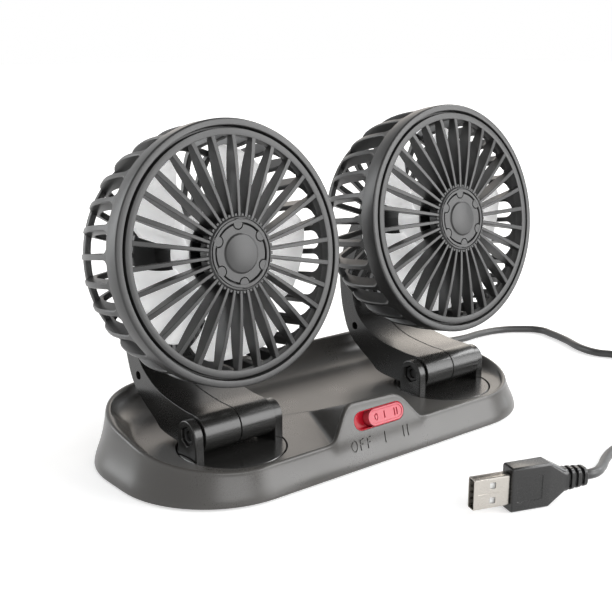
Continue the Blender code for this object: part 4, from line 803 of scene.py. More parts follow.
def make_shell():
    """Folded steel shell with two square windows in each wide face, and the contacts inside."""
    outer = [rounded_section(x, SHELL_WIDTH, SHELL_THICKNESS, 0.0007) for x in SHELL]
    inner = [rounded_section(x, SHELL_WIDTH - 2 * SHELL_METAL, SHELL_THICKNESS - 2 * SHELL_METAL, 0.0004)
             for x in (SHELL[0] + SHELL_METAL, SHELL[1] + 0.0010)]
    shell = make_piece("plug_tube", bridged(outer), finish_named("steel"), "base", ["plug_shell"],
                       radians(40))
    carve(shell, bridged(inner), "hollow")
    for side in (-1, 1):
        for height in (-WINDOW_HEIGHT, WINDOW_HEIGHT):
            window = filleted(rectangle(SHELL_WINDOW, SHELL_WINDOW), 0.0003, 3)
            face = Matrix.Translation((SHELL[1] - WINDOW_BACK, side * SHELL_THICKNESS / 2, height))
            tool = extruded(window, -0.0010, 0.0010)
            carve(shell, moved(tool, face @ Matrix.Rotation(pi / 2, 4, "X")), "window")
        seam = extruded(rectangle(*SHELL_SEAM), -0.00015, 0.0010)
        seam = moved(seam, Matrix.Rotation(side * -pi / 2, 4, "X"))
        shifted(seam, x=(SHELL[0] + SHELL[1]) / 2, y=side * SHELL_THICKNESS / 2)
        carve(shell, seam, "seam")
    bevelled(shell, 0.00010, 2)
    shell.data.transform(at_plug())
    shaded(shell, radians(40))
    strips = []
    for index in range(4):
        strip = filleted(rectangle(*CONTACT), 0.0002, 2)
        strips.append(shifted(moved(extruded(strip, 0, 0.00025), Matrix.Rotation(pi / 2, 4, "X")),
                              x=0.0420, y=0.0000, z=-0.0036 + 0.0024 * index))
    contacts = moved(merged(*strips), at_plug())
    make_piece("plug_contacts", contacts, finish_named("steel"), "base")
    dressed(["plug_tongue"], finish_named("tongue"))
    return shell


def make_cord_set():
    """Cord, sleeve and plug."""
    cord, start = make_cord()
    relief = make_relief()
    grip = make_overmould()
    shell = make_shell()


# Base moulding

FRONT_COLUMNS = 244
CORNER_COLUMNS = 20
END_COLUMNS = 4
BACK_COLUMNS = 40
WALL_ROWS = 14
ROLL_ROWS = 6
FLOOR_ROWS = 66
UNDER_ROWS = 6
LAST_INSET = 0.0412
FOOT_ROUND = 0.0004
LEAST_ROLL = 0.0011
HUMP_ROLL = 0.0013
HUMP_SOFTENING = 0.0026
HUMP_BLEND = 0.0030
HUMP_FADE = 0.006
PANEL_FADE_FOOT = 0.006
PANEL_FADE_REACH = 0.008
LEDGE_DEPTH = 0.0004
LEDGE_REACH = 0.0006
END_WEIGHT_START = 0.5
END_WEIGHT_SPAN = 0.3
HOUSING_FOOT_BLEND = 0.0020
HOUSING_WALL_BLEND = 0.0008
HOUSING_WALL = 0.0019
SWITCH_OPENING = (0.0274, 0.0080)
HUMP = ((-0.0310, 0.0115), (-0.0280, 0.0132), (-0.0190, 0.0263), (0.0075, 0.0252), (0.0115, 0.0230),
        (0.0195, 0.0130), (0.0220, 0.0115))
HUMP_WEIGHT = ((-0.0330, 0.0), (-0.0270, 1.0), (0.0190, 1.0), (0.0250, 0.0))
PANEL_POINT = (-0.0115, -0.0070, 0.0120)
PANEL_FACETS = (((-0.0190, -0.0399, 0.0265), (0.0075, -0.0402, 0.0252)),
                ((-0.0280, -0.0435, 0.0130), (-0.0190, -0.0399, 0.0265)),
                ((0.0075, -0.0402, 0.0252), (0.0115, -0.0408, 0.0230)),
                ((0.0115, -0.0408, 0.0230), (0.0195, -0.0435, 0.0130)))


def outline_stations():
    """Places round the base's outline: centre of curvature and outward direction at each."""
    size = bpy.context.scene.fan_base
    run_x = size.half_length - size.corner
    run_y = size.half_depth - size.corner
    runs = (((-run_x, -run_y), (run_x, -run_y), -pi / 2, FRONT_COLUMNS),
            ((run_x, -run_y), (run_x, run_y), 0.0, END_COLUMNS),
            ((run_x, run_y), (-run_x, run_y), pi / 2, BACK_COLUMNS),
            ((-run_x, run_y), (-run_x, -run_y), pi, END_COLUMNS))
    places = []
    for start, end, facing, count in runs:
        for step in range(count):
            part = step / count
            centre = (start[0] + (end[0] - start[0]) * part, start[1] + (end[1] - start[1]) * part)
            places.append((*centre, cos(facing), sin(facing)))
        for step in range(CORNER_COLUMNS):
            angle = facing + pi / 2 * step / CORNER_COLUMNS
            places.append((*end, cos(angle), sin(angle)))
    return places


def wall_inset(station, height):
    """How far the outer wall leans in; the switch panel is a flat plane in the same surface."""
    x, _, _, normal_y = station
    foot = 2 * WALL_UPRIGHT
    risen = height - WALL_UPRIGHT if height > foot else max(0.0, height) ** 2 / (2 * foot)
    lean = WALL_LEAN * (1 - exp(-risen / WALL_LEAN_FALL))
    lean *= 1 - (1 - BACK_LEAN_SHARE) * max(0.0, normal_y) ** 2
    if normal_y > -0.999:
        return lean
    weight = between(x, HUMP_WEIGHT) * min(max((height - PANEL_FADE_FOOT) / PANEL_FADE_REACH, 0.0), 1.0)
    weight = weight * weight * (3 - 2 * weight)
    return lean + (height * tan(PANEL_LEAN) - lean) * weight


def crest(station):
    """Height of the rim, the radius of its rolled edge and how much it rises over the floor."""
    x, centre_y, normal_x, normal_y = station
    size = bpy.context.scene.fan_base
    inner = RIM_INSET_LONG_SIDES + (RIM_INSET_ENDS - RIM_INSET_LONG_SIDES) * normal_x ** 2
    edge_y = centre_y + (size.corner - inner) * normal_y
    level = CREST_FRONT + (CREST_BACK - CREST_FRONT) * (edge_y + size.half_depth) / (2 * size.half_depth)
    roll = max(LEAST_ROLL, (inner - wall_inset(station, level)) / 2)
    rise = max(0.0, level - roll - FLOOR_TOP)
    if normal_y < -0.999:
        hump = softened(x, HUMP, HUMP_SOFTENING, 10)
        over = min(max((hump - level) / HUMP_FADE, 0.0), 1.0)
        roll += (HUMP_ROLL - roll) * over
        level = soft_most(level, hump, HUMP_BLEND)
    return level, roll, rise


def plane_height(corner_a, corner_b, x, y):
    """Height at (x, y) of the facet through two corners and the point behind the panel."""
    a, b, c = Vector(corner_a), Vector(corner_b), Vector(PANEL_POINT)
    normal = (b - a).cross(c - a)
    return a.z - (normal.x * (x - a.x) + normal.y * (y - a.y)) / normal.z


def housing_height(x, y):
    """The switch housing behind the panel, a low wedge with softened edges."""
    return soft_least([plane_height(a, b, x, y) for a, b in PANEL_FACETS], 0.0012)


def tray_height(station, inset, roll_start, level, roll, rise):
    """Height of the inside at an inset: rolled edge, then the hollow sweep, then the flat floor."""
    _, _, normal_x, normal_y = station
    inside = inset - roll_start - roll
    along = (inside - roll) / (TRAY_REACH_SHARE * rise) if rise > 0 else 1.0
    if inside <= roll:
        height = level - roll + sqrt(max(0.0, roll * roll - max(inside, 0.0) ** 2))
    elif along >= 1:
        height = FLOOR_TOP if rise > 0 else 0.0
    else:
        swept = FLOOR_TOP + rise * (1 - sqrt(max(0.0, 1 - (1 - along) ** 2)))
        ledge = LEDGE_DEPTH * max(0.0, normal_y) * min(max((inside - roll) / LEDGE_REACH, 0.0), 1.0)
        height = min(level - roll, swept) - ledge * (1 - along)
    if rise <= 0:
        return height
    drop = level - FLOOR_TOP
    eased = min(max(inside / (END_REACH_SHARE * drop), 0.0), 1.0)
    flowing = level - drop * eased * eased * (3 - 2 * eased)
    weight = min(1.0, max(0.0, (normal_x ** 2 - END_WEIGHT_START) / END_WEIGHT_SPAN))
    return height + (flowing - height) * weight


def base_point(station, row):
    """One corner of the base's skin; rows run from under the floor, up the wall and over the rim."""
    centre_x, centre_y, normal_x, normal_y = station
    level, roll, rise = crest(station)
    foot = level - roll
    roll_start = wall_inset(station, foot)
    under = ((wall_inset(station, FLOOR_UNDER) + SHELL_WALL, FLOOR_UNDER), (SHELL_WALL, WALL_UPRIGHT),
             (SHELL_WALL, FOOT_PROUD), (FOOT_ROUND, FOOT_PROUD), (0.0001, FOOT_PROUD + 0.0001),
             (0.0, FOOT_PROUD + FOOT_ROUND))
    row_in_wall = row - len(under)
    row_in_roll = row_in_wall - WALL_ROWS
    row_in_turn = row_in_roll - ROLL_ROWS
    row_in_floor = row_in_turn - ROLL_ROWS
    if row_in_wall < 0:
        inset, height = under[row]
    elif row_in_roll < 0:
        low = FOOT_PROUD + FOOT_ROUND
        height = low + (foot - low) * (row_in_wall + 1) / WALL_ROWS
        inset = wall_inset(station, height)
    elif row_in_turn < 0:
        angle = pi / 2 * (row_in_roll + 1) / ROLL_ROWS
        inset = roll_start + roll * (1 - cos(angle))
        height = foot + roll * sin(angle)
    else:
        if row_in_floor < 0:
            inset = roll_start + roll * (1 + sin(pi / 2 * (row_in_turn + 1) / ROLL_ROWS))
        else:
            first = roll_start + 2 * roll
            inset = first + (LAST_INSET - first) * (row_in_floor + 1) / FLOOR_ROWS
        height = tray_height(station, inset, roll_start, level, roll, rise)
    reach = bpy.context.scene.fan_base.corner - inset
    x = centre_x + reach * normal_x
    y = centre_y + reach * normal_y
    if row_in_turn >= 0:
        ground = soft_most(FLOOR_TOP, housing_height(x, y), HOUSING_FOOT_BLEND)
        height = soft_most(height, ground, HOUSING_WALL_BLEND)
    return Vector((x, y, height))


def make_base():
    """The upper moulding with its rolled rim, hollow tray and switch housing."""
    stations = outline_stations()
    count = len(stations)
    rows = UNDER_ROWS + WALL_ROWS + 2 * ROLL_ROWS + FLOOR_ROWS - 1
    skin = grid(count, rows, lambda across, along: base_point(stations[round(across * count) % count],
                                                             round(along * rows)))
    base = make_piece("base_moulding", closed_up(skin), finish_named("base"), "base", ["base_top_shell"],
                      radians(38))
    for side in SIDES:
        seat = FLOOR_TOP - 0.0020
        profile = [(0.0, 0.0085), (0.0150, 0.0085), (0.0150, seat), (0.02185, seat), (0.02185, 0.0116),
                   (0.0222, 0.0121), (0.0222, 0.0140), (0.0, 0.0140)]
        carve(base, shifted(spun(profile, 120, closed=False), side_x(side), FAN_LINE), "turntable_seat")
    carve(base, housing_hollow(), "housing_hollow")
    well = extruded(stadium(*SWITCH_OPENING), -0.0060, 0.0020)
    carve(base, moved(well, at_panel()), "switch_opening")
    mouth = Matrix.Translation(relief_mouth()) @ BACK
    carve(base, moved(rod(CORD_HOLE_RADIUS, -0.006, 0.003), mouth), "cord_hole")
    for mark in wall_marks():
        carve(base, mark, "mark")
    shaded(base, radians(38))


def housing_hollow():
    """The space for the switch behind the panel."""
    front = -bpy.context.scene.fan_base.half_depth + HOUSING_WALL
    solid = bmesh.new()
    for x, z in ((-0.0243, 0.0090), (-0.0167, 0.0240), (0.0062, 0.0230), (0.0098, 0.0208), (0.0158, 0.0090)):
        solid.verts.new((x, front + z * tan(PANEL_LEAN), z))
    solid.verts.new((PANEL_POINT[0], PANEL_POINT[1] - 0.0040, 0.0090))
    bmesh.ops.convex_hull(solid, input=solid.verts)
    bmesh.ops.recalc_face_normals(solid, faces=solid.faces)
    return solid


MARK_HEIGHT = 0.0048
MARK_STROKE = 0.00055
MARK_DEPTH = 0.0004
MARK_TOP = 0.0012


def bar(x, low, high):
    """One upright stroke."""
    half = MARK_STROKE / 2
    outline = [(x - half, low), (x + half, low), (x + half, high), (x - half, high)]
    return extruded(outline, -MARK_DEPTH, MARK_TOP)


def letter_f(x):
    half = MARK_HEIGHT / 2
    thick = MARK_STROKE
    reach = 0.0022
    outline = [(0, -half), (thick, -half), (thick, -thick / 2), (reach * 0.8, -thick / 2),
               (reach * 0.8, thick / 2), (thick, thick / 2), (thick, half - thick), (reach, half - thick),
               (reach, half), (0, half)]
    return extruded([(x + dx, z) for dx, z in outline], -MARK_DEPTH, MARK_TOP)


def letter_o(x, wide=0.0016, tall=MARK_HEIGHT / 2, thick=MARK_STROKE):
    share = wide / tall
    ring = spun([(tall - thick, -MARK_DEPTH), (tall, -MARK_DEPTH),
                 (tall, MARK_TOP), (tall - thick, MARK_TOP)], 32)
    return shifted(moved(ring, Matrix.Diagonal((share, 1.0, 1.0, 1.0))), x=x)


def wall_marks():
    """OFF, I and II sunk into the wall under the switch."""
    height = 0.0098
    station = (0.0, 0.0, 0.0, -1.0)
    rise = 0.001
    run = wall_inset(station, height + rise) - wall_inset(station, height - rise)
    lean = atan(run / (2 * rise))
    y = -bpy.context.scene.fan_base.half_depth + wall_inset(station, height)
    at_wall = Matrix.Translation((0, y, height)) @ Matrix.Rotation(-lean, 4, "X") @ FACING
    half = MARK_HEIGHT / 2
    shapes = [letter_o(-0.0187), letter_f(-0.0158), letter_f(-0.0119), bar(-0.0020, -half, half),
              bar(0.0083, -half, half), bar(0.0108, -half, half)]
    return [moved(shape, at_wall) for shape in shapes]


def make_underside():
    """Finishes of the bottom plate, its screws and the foot pads."""
    dressed(["base_bottom_plate"], finish_named("under"))
    dressed([f"base_screw_{number}" for number in range(1, 5)], finish_named("steel"))
    dressed([f"foot_pad_{number}" for number in range(1, 5)], finish_named("rubber"))


# Switch

KNOB_LENGTH = 0.0192
KNOB_WIDTH = 0.0069
KNOB_SHIFT = 0.00325
KNOB_RIM = 0.0016
WELL_OUTER = (0.0271, 0.0077)
WELL_INNER = (0.0264, 0.0071)
STEM_SLOT = (0.0050, 0.0013)
STEM = (0.0015, 0.0010)


def make_switch():
    """Sliding knob with sunk marks, and the finishes of the well and what is behind it."""
    knob = make_piece("switch_slide_knob", extruded(stadium(KNOB_LENGTH, KNOB_WIDTH, 20), -0.0029, 0.0007),
                      finish_named("knob"), "switch_slider", ["switch_knob"])
    groove = extruded(stadium(KNOB_LENGTH - KNOB_RIM, KNOB_WIDTH - KNOB_RIM, 20), 0.00045, 0.0012)
    carve(knob, groove, "dish")
    half = 0.0015
    for mark in (letter_o(-0.0053, 0.0009, half, thick=0.0005), bar(-0.0008, -half, half),
                 bar(0.0048, -half, half), bar(0.0062, -half, half)):
        carve(knob, shifted(mark, z=0.0004), "mark")
    bevelled(knob, 0.00022, 3)
    knob.data.transform(at_panel() @ Matrix.Translation((KNOB_SHIFT, 0, 0)))
    well = make_piece("red_well", extruded(stadium(*WELL_OUTER, 20), -0.0040, 0.0), finish_named("red"),
                      "base", ["switch_well"])
    carve(well, extruded(stadium(*WELL_INNER, 20), -0.0032, 0.0010), "pocket")
    carve(well, extruded(rectangle(*STEM_SLOT), -0.0050, -0.0030), "stem_slot")
    bevelled(well, 0.00012, 2)
    well.data.transform(at_panel())
    stem = extruded(rectangle(*STEM), -0.0055, -0.0027)
    make_piece("switch_stem", moved(stem, at_panel() @ Matrix.Translation((KNOB_SHIFT, 0, 0))),
               finish_named("black"), "switch_slider")
    dressed(["switch_body"], finish_named("steel"))
    dressed(["circuit_board"], finish_named("board"))


# Turntables and arms

ARM_FRONT = ((0.24, 0.125), (0.607, 0.159), (0.877, 0.237), (1.032, 0.341),
             (1.106, 0.504), (1.103, 0.634), (1.049, 0.780), (0.931, 0.902))
ARM_BACK = ((1.233, 0.862), (1.307, 0.699), (1.319, 0.537), (1.258, 0.309),
            (1.111, 0.114), (0.754, -0.041), (0.572, -0.102))
ARM_BARREL_RADIUS = 0.0074
ARM_TIP_RADIUS = 0.0050
FORK_HALF_GAP = 0.0063
SEAM_HALF = 0.00025
RECESS_RADIUS = 0.0040
RECESS_DEPTH = 0.0020
NUT_RADIUS = 0.0037
THREAD_RADIUS = 0.0022
HINGE_BORE = 0.0023
PIN_BORE = 0.0018
THROUGH = 0.03
FORK_REACH = 0.0110
ARM_SCREWS = ((1.042, 0.205), (1.209, 0.650))


def make_turntable(side):
    """Turning disc with a chamfered edge and two arched ears, one with a nut sunk in a hex recess."""
    body = f"{side}_turntable"
    profile = [(0.0, -0.0017), (0.0107, -0.0017), (0.0107, -0.0046), (0.0147, -0.0046), (0.0147, -0.0017),
               (0.0214, -0.0017), (TURNTABLE_RADIUS, -0.0015), (TURNTABLE_RADIUS, -0.00025), (0.0213, 0.0),
               (0.0, 0.0)]
    disc = moved(spun(profile, 120, closed=False), at_turntable(side))
    make_piece(f"{side}_turning_disc", disc, finish_named("arm"), body, [f"{side}_turntable"],
               radians(25))
    foot = -HINGE_RISE - 0.0006
    outline = [(EAR_HALF_DEPTH, foot)] + arc((0, 0), EAR_HALF_DEPTH, 0, pi, 28) + [(-EAR_HALF_DEPTH, foot)]
    for number, (low, high) in enumerate(((-EAR_OUTER, -EAR_INNER), (EAR_INNER, EAR_OUTER)), 1):
        ear = moved(extruded(outline, low, high), ACROSS)
        piece = make_piece(f"{side}_hinge_ear_{number}", ear, finish_named("arm"), body)
        outer = low if number == 1 else high
        way = -1 if number == 1 else 1
        sunk = arc((0, 0), RECESS_RADIUS, 0, 2 * pi, 6 if number == 1 else 32)[:-1]
        recess = moved(extruded(sunk, -RECESS_DEPTH, 0.0010), Matrix.Rotation(way * pi / 2, 4, "Y"))
        carve(piece, shifted(recess, x=outer), "recess")
        carve(piece, moved(rod(HINGE_BORE, -THROUGH, THROUGH), SIDE), "bore")
        bevelled(piece, 0.0004, 3)
        piece.data.transform(at_hinge(side))
    nut = extruded(arc((0, 0), NUT_RADIUS, 0, 2 * pi, 6)[:-1], -0.0019, -0.0011)
    nut = shifted(moved(nut, Matrix.Rotation(-pi / 2, 4, "Y")), x=-EAR_OUTER)
    piece = make_piece(f"{side}_sunk_nut", nut, finish_named("under"), body, [f"{side}_hinge_nut"])
    carve(piece, moved(rod(THREAD_RADIUS, -THROUGH, THROUGH), SIDE), "thread")
    bevelled(piece, 0.0002, 2)
    piece.data.transform(at_hinge(side))
    dressed([f"{side}_swivel_retainer", f"{side}_hinge_pin"], finish_named("under"))


def arm_outline():
    """The arm's side outline about the base hinge, in Y and Z."""
    front = [(y * ARM_REACH, z * ARM_RISE) for y, z in ARM_FRONT]
    back = [(y * ARM_REACH, z * ARM_RISE) for y, z in ARM_BACK]
    barrel = arc((0, 0), ARM_BARREL_RADIUS, 3 * pi / 2, pi / 2, 28)
    tip = arc((ARM_REACH, ARM_RISE), ARM_TIP_RADIUS, radians(205), radians(10), 18)
    upper = curved([barrel[-1]] + front + [tip[0]], 5)[1:-1]
    lower = curved([tip[-1]] + back + [barrel[0]], 5)[1:-1]
    return barrel + [tuple(point) for point in upper] + tip + [tuple(point) for point in lower]


def make_arm(side):
    """Two moulded halves with a dark seam, rounded edges, sunk screws and a fork for the head."""
    for name, low, high in (("left", -ARM_HALF_WIDTH, -SEAM_HALF), ("right", SEAM_HALF, ARM_HALF_WIDTH)):
        half = make_piece(f"{side}_arm_{name}", moved(extruded(arm_outline(), low, high), ACROSS),
                          finish_named("arm"), f"{side}_arm", [f"{side}_arm_{name}_half"],
                          radians(28))
        fork = extruded([(-FORK_HALF_GAP, 0.0), (FORK_HALF_GAP, 0.0), (FORK_HALF_GAP, 0.0300),
                         (-FORK_HALF_GAP, 0.0300)], ARM_RISE - FORK_REACH, ARM_RISE + FORK_REACH)
        carve(half, shifted(fork, y=ARM_REACH - FORK_REACH), "fork")
        carve(half, moved(rod(HINGE_BORE, -THROUGH, THROUGH), SIDE), "bore")
        pin = rod(PIN_BORE, -0.0145, 0.0145)
        carve(half, moved(pin, Matrix.Translation((0, ARM_REACH, ARM_RISE)) @ SIDE), "pin_hole")
        for y, z in ARM_SCREWS:
            at_screw = Matrix.Translation((0, y * ARM_REACH, z * ARM_RISE)) @ SIDE
            start = -ARM_HALF_WIDTH - 0.001
            profile = [(0, start), (0.0018, start), (0.0018, -0.0098), (0.0013, -0.0098), (0.0013, 0.0093),
                       (0, 0.0093)]
            carve(half, moved(spun(profile, 28, closed=False), at_screw), "screw_hole")
        bevelled(half, 0.00042, 3, radians(40))
        half.data.transform(at_hinge(side))
        shaded(half, radians(28))
    dressed([f"{side}_arm_screw_lower", f"{side}_arm_screw_upper", f"{side}_tilt_pin"], finish_named("steel"))


# Cages, grilles and impellers, with depths measured back from the plane of the rim's groove

RIB_PATH = ((0.0496, 0.0030), (0.0496, 0.0060), (0.0497, 0.0130), (0.0489, 0.0220), (0.0467, 0.0300),
            (0.0440, 0.0342), (0.0405, 0.0370), (0.0350, 0.0384), (0.0280, 0.0388), (0.0205, 0.0390))
RIB_DEEP = ((0.0, 0.0042), (0.35, 0.0050), (0.50, 0.0062), (0.62, 0.0050), (0.75, 0.0032), (1.0, 0.0026))
ARCH_START = 0.0048
ARCH_END = 0.0115
HUB_FRONT = 0.0055
RIM_FRONT = 0.0025
NOTCH_CENTRE = 0.0110
NOTCH_RADIUS = 0.0023
RIB_CHAMFER = 0.0004
VANE_SOFT = 0.00018
VANE_TAPER = 0.8


def cell_half():
    """Half of the space that one rib and its window take round the rim."""
    head = bpy.context.scene.fan_head
    return head.radius * sin(pi / head.rib_count)


def rib_half_width(depth):
    """Half width of a cage rib, which spreads into its neighbours in round arches at the band."""
    head = bpy.context.scene.fan_head
    slim = head.rib_thickness / 2
    arch = cell_half() - slim
    into = ARCH_START + arch - depth
    if into <= 0:
        return slim
    if into >= arch:
        return cell_half() * 0.998
    return cell_half() - sqrt(max(0.0, arch * arch - into * into))


def cage_rib():
    """One rib of the cage from the band, round the rear corner and in to the rear plate."""
    fine = curved(RIB_PATH, 8)
    keep = [point for index, point in enumerate(fine)
            if point.y < ARCH_END or index % 3 == 0 or index > len(fine) - 2]
    loops = []
    for index, point in enumerate(keep):
        before = keep[max(index - 1, 0)]
        after = keep[min(index + 1, len(keep) - 1)]
        run = (after - before).normalized()
        inward = Vector((-run.y, run.x)) if run.y > 0 or run.x < 0 else Vector((0, -1))
        deep = between(index / (len(keep) - 1), RIB_DEEP)
        half = rib_half_width(point.y) if point.x > 0.045 else bpy.context.scene.fan_head.rib_thickness / 2
        chamfer = RIB_CHAMFER
        section = [(-half + chamfer, 0.0), (-half / 2, 0.0), (0.0, 0.0), (half / 2, 0.0),
                   (half - chamfer, 0.0), (half, chamfer), (half, deep - chamfer),
                   (half - chamfer, deep), (0.0, deep),
                   (-half + chamfer, deep), (-half, deep - chamfer), (-half, chamfer)]
        loop = []
        for aside, sunk in section:
            radius = point.x + inward.x * sunk
            depth = point.y + inward.y * sunk
            angle = aside / point.x
            loop.append((radius * cos(angle), radius * sin(angle), depth))
        loops.append(loop)
    return bridged(loops)


def ring_of(solid, count, offset=0.5):
    """Repeat a shape about Z."""
    moved(solid, Matrix.Rotation(2 * pi * offset / count, 4, "Z"))
    bmesh.ops.spin(solid, geom=solid.verts[:] + solid.edges[:] + solid.faces[:], cent=(0, 0, 0),
                   axis=(0, 0, 1), angle=2 * pi * (count - 1) / count, steps=count - 1, use_duplicate=True)
    return solid


def make_cage(side):
    """Rim band, thirty side ribs, rear hoop, rear plate and knuckle."""
    head = bpy.context.scene.fan_head
    body, finish, place = f"{side}_head", finish_named("head"), at_head(side)
    inner = head.radius - 0.0027
    band = [(head.radius, -RIM_FRONT), (head.radius, 0.0049), (head.radius - 0.0044, 0.0049),
            (inner - 0.0021, 0.0012), (inner, 0.0012), (inner, -RIM_FRONT)]
    rounds = [0.0008, 0.0004, 0.0004, 0.0003, 0.0002, 0.0003]
    make_piece(f"{side}_cage_band", moved(spun(filleted(band, rounds, 4), 180), place), finish, body,
               [f"{side}_rear_shell"])
    ribs = ring_of(cage_rib(), head.rib_count)
    make_piece(f"{side}_cage_ribs", moved(ribs, place), finish, body)
    hoop = filleted([(0.0409, 0.0340), (0.0433, 0.0340), (0.0433, 0.0364), (0.0409, 0.0364)], 0.0004, 3)
    make_piece(f"{side}_cage_hoop", moved(spun(hoop, 150), place), finish, body)
    plate = [(0.0, 0.0364), (0.0218, 0.0364), (0.0221, 0.0367), (0.0221, 0.0386), (0.0216, 0.0392),
             (0.0180, 0.0392), (0.0176, 0.0388), (0.0120, 0.0388), (0.0116, 0.0392), (0.0, 0.0392)]
    make_piece(f"{side}_cage_plate", moved(spun(plate, 120, closed=False), place), finish, body,
               crease=radians(25))
    half = FORK_HALF_GAP - 0.0003
    outline = arc((0, 0), 0.0050, -pi / 2, pi / 2, 20) + [(-0.0082, 0.0050), (-0.0082, -0.0050)]
    knuckle = moved(extruded(outline, -half, half), BACK.inverted() @ ACROSS)
    piece = make_piece(f"{side}_knuckle", knuckle, finish, body)
    carve(piece, moved(rod(PIN_BORE, -0.02, 0.02), SIDE), "bore")
    bevelled(piece, 0.0004, 3)
    piece.data.transform(place @ Matrix.Translation((0, 0, PIVOT_BEHIND)))


def grille_vane():
    """One deep, domed vane with a narrow flat front."""
    head = bpy.context.scene.fan_head
    root, tip = 0.0128, head.radius - 0.0050
    loops = []
    for step in range(13):
        share = step / 12
        radius = root + (tip - root) * share
        front = -HUB_FRONT + 0.0007 + (HUB_FRONT - RIM_FRONT - 0.0004) * share ** 2.3
        back = 0.0005 + 0.0019 * 4 * share * (1 - share)
        half = (head.vane_root + (head.vane_tip - head.vane_root) * share) / 2
        soft = VANE_SOFT
        back_half = half * VANE_TAPER
        loops.append([(radius, -half + soft, front), (radius, half - soft, front),
                      (radius, half, front + soft), (radius, back_half, back - soft),
                      (radius, back_half - soft, back),
                      (radius, soft - back_half, back), (radius, -back_half, back - soft),
                      (radius, -half, front + soft)])
    return bridged(loops)


def make_grille(side):
    """Snap-in front grille: ring, thirty vanes, toothed hub and the notched cap."""
    head = bpy.context.scene.fan_head
    body, finish, place = f"{side}_head", finish_named("vane"), at_head(side)
    outer = head.radius - 0.0037
    ring = filleted([(outer, -RIM_FRONT), (outer, 0.0002), (outer + 0.0007, 0.0002), (outer + 0.0007, 0.0009),
                     (outer - 0.0027, 0.0009), (outer - 0.0027, -RIM_FRONT)],
                    [0.0003, 0.0001, 0.0001, 0.0001, 0.0002, 0.0003], 3)
    make_piece(f"{side}_grille_ring", moved(spun(ring, 180), place), finish, body, [f"{side}_front_grille"])
    vanes = ring_of(grille_vane(), head.rib_count, 0.0)
    make_piece(f"{side}_grille_vanes", moved(vanes, place), finish, body)
    front = -HUB_FRONT
    hub = [(0.0, -0.0027), (0.0117, -0.0027), (0.0117, 0.0010), (0.0138, 0.0010), (0.0142, 0.0004),
           (0.0142, front + 0.0011), (0.0139, front + 0.0008), (0.0136, front + 0.0002), (0.0134, front),
           (0.0132, front), (0.0130, front + 0.0005), (0.0127, front + 0.0005), (0.0125, front),
           (0.0116, front), (0.0114, front + 0.0003), (0.0114, -0.0039), (0.0, -0.0039)]
    make_piece(f"{side}_grille_hub", moved(spun(hub, 120, closed=False), place), finish, body,
               crease=radians(25))
    tooth = extruded([(0.0138, -0.00065), (0.0149, -0.00055), (0.0149, 0.00055), (0.0138, 0.00065)],
                     front + 0.0008, front + 0.0030)
    teeth = make_piece(f"{side}_hub_teeth", moved(ring_of(tooth, head.rib_count), place), finish, body)
    bevelled(teeth, 0.00018, 2)
    lobe = spun([(0.0, -0.0036), (0.0018, -0.0036), (0.0020, -0.0039), (0.0020, front + 0.0003),
                 (0.0018, front + 0.0001), (0.0, front + 0.0001)], 32, closed=False)
    lobes = ring_of(shifted(lobe, x=NOTCH_CENTRE), 6)
    make_piece(f"{side}_hub_lobes", moved(lobes, place), finish, body)
    cap = [(0.0, -0.0041), (0.0108, -0.0041), (0.0109, -0.0050), (0.0107, -0.0053), (0.0076, -0.0053),
           (0.0074, -0.0054), (0.0070, -0.0059), (0.0067, -0.0060), (0.0, -0.0060)]
    piece = make_piece(f"{side}_cap", spun(cap, 120, closed=False), finish, body, [f"{side}_hub_cap"],
                       radians(25))
    notch = rod(NOTCH_RADIUS, -0.0070, -0.0030, 40)
    carve(piece, ring_of(shifted(notch, x=NOTCH_CENTRE), 6), "notches")
    bevelled(piece, 0.00015, 2, radians(50))
    piece.data.transform(place)
    shaded(piece, radians(25))


BLADE_ROOT = 0.0155
BLADE_TIP = 0.0415
BLADE_FRONT = 0.0054
BLADE_RISE = 0.0108
BLADE_THICKNESS = 0.0010
BLADE_CORNER = 0.0050
BLADE_CAMBER = 0.0010
BLADE_ROOT_SPAN = radians(44.0)
BLADE_SPREAD = radians(14.0)
BLADE_SWEEP = radians(10.0)


def blade_place(chord, share):
    """A point of a blade's sheet: chord runs from its leading to its trailing edge."""
    radius = BLADE_ROOT + (BLADE_TIP - BLADE_ROOT) * share
    span = BLADE_ROOT_SPAN + BLADE_SPREAD * share
    across = chord - 0.5
    corner = max(0.0, (abs(across) - 0.25) / 0.25) ** 2
    radius -= BLADE_CORNER * corner * share ** 2
    angle = BLADE_SWEEP * share + span * across
    camber = BLADE_CAMBER * (1 - 4 * across * across)
    return Vector((radius * cos(angle), radius * sin(angle), BLADE_FRONT + BLADE_RISE * chord + camber))


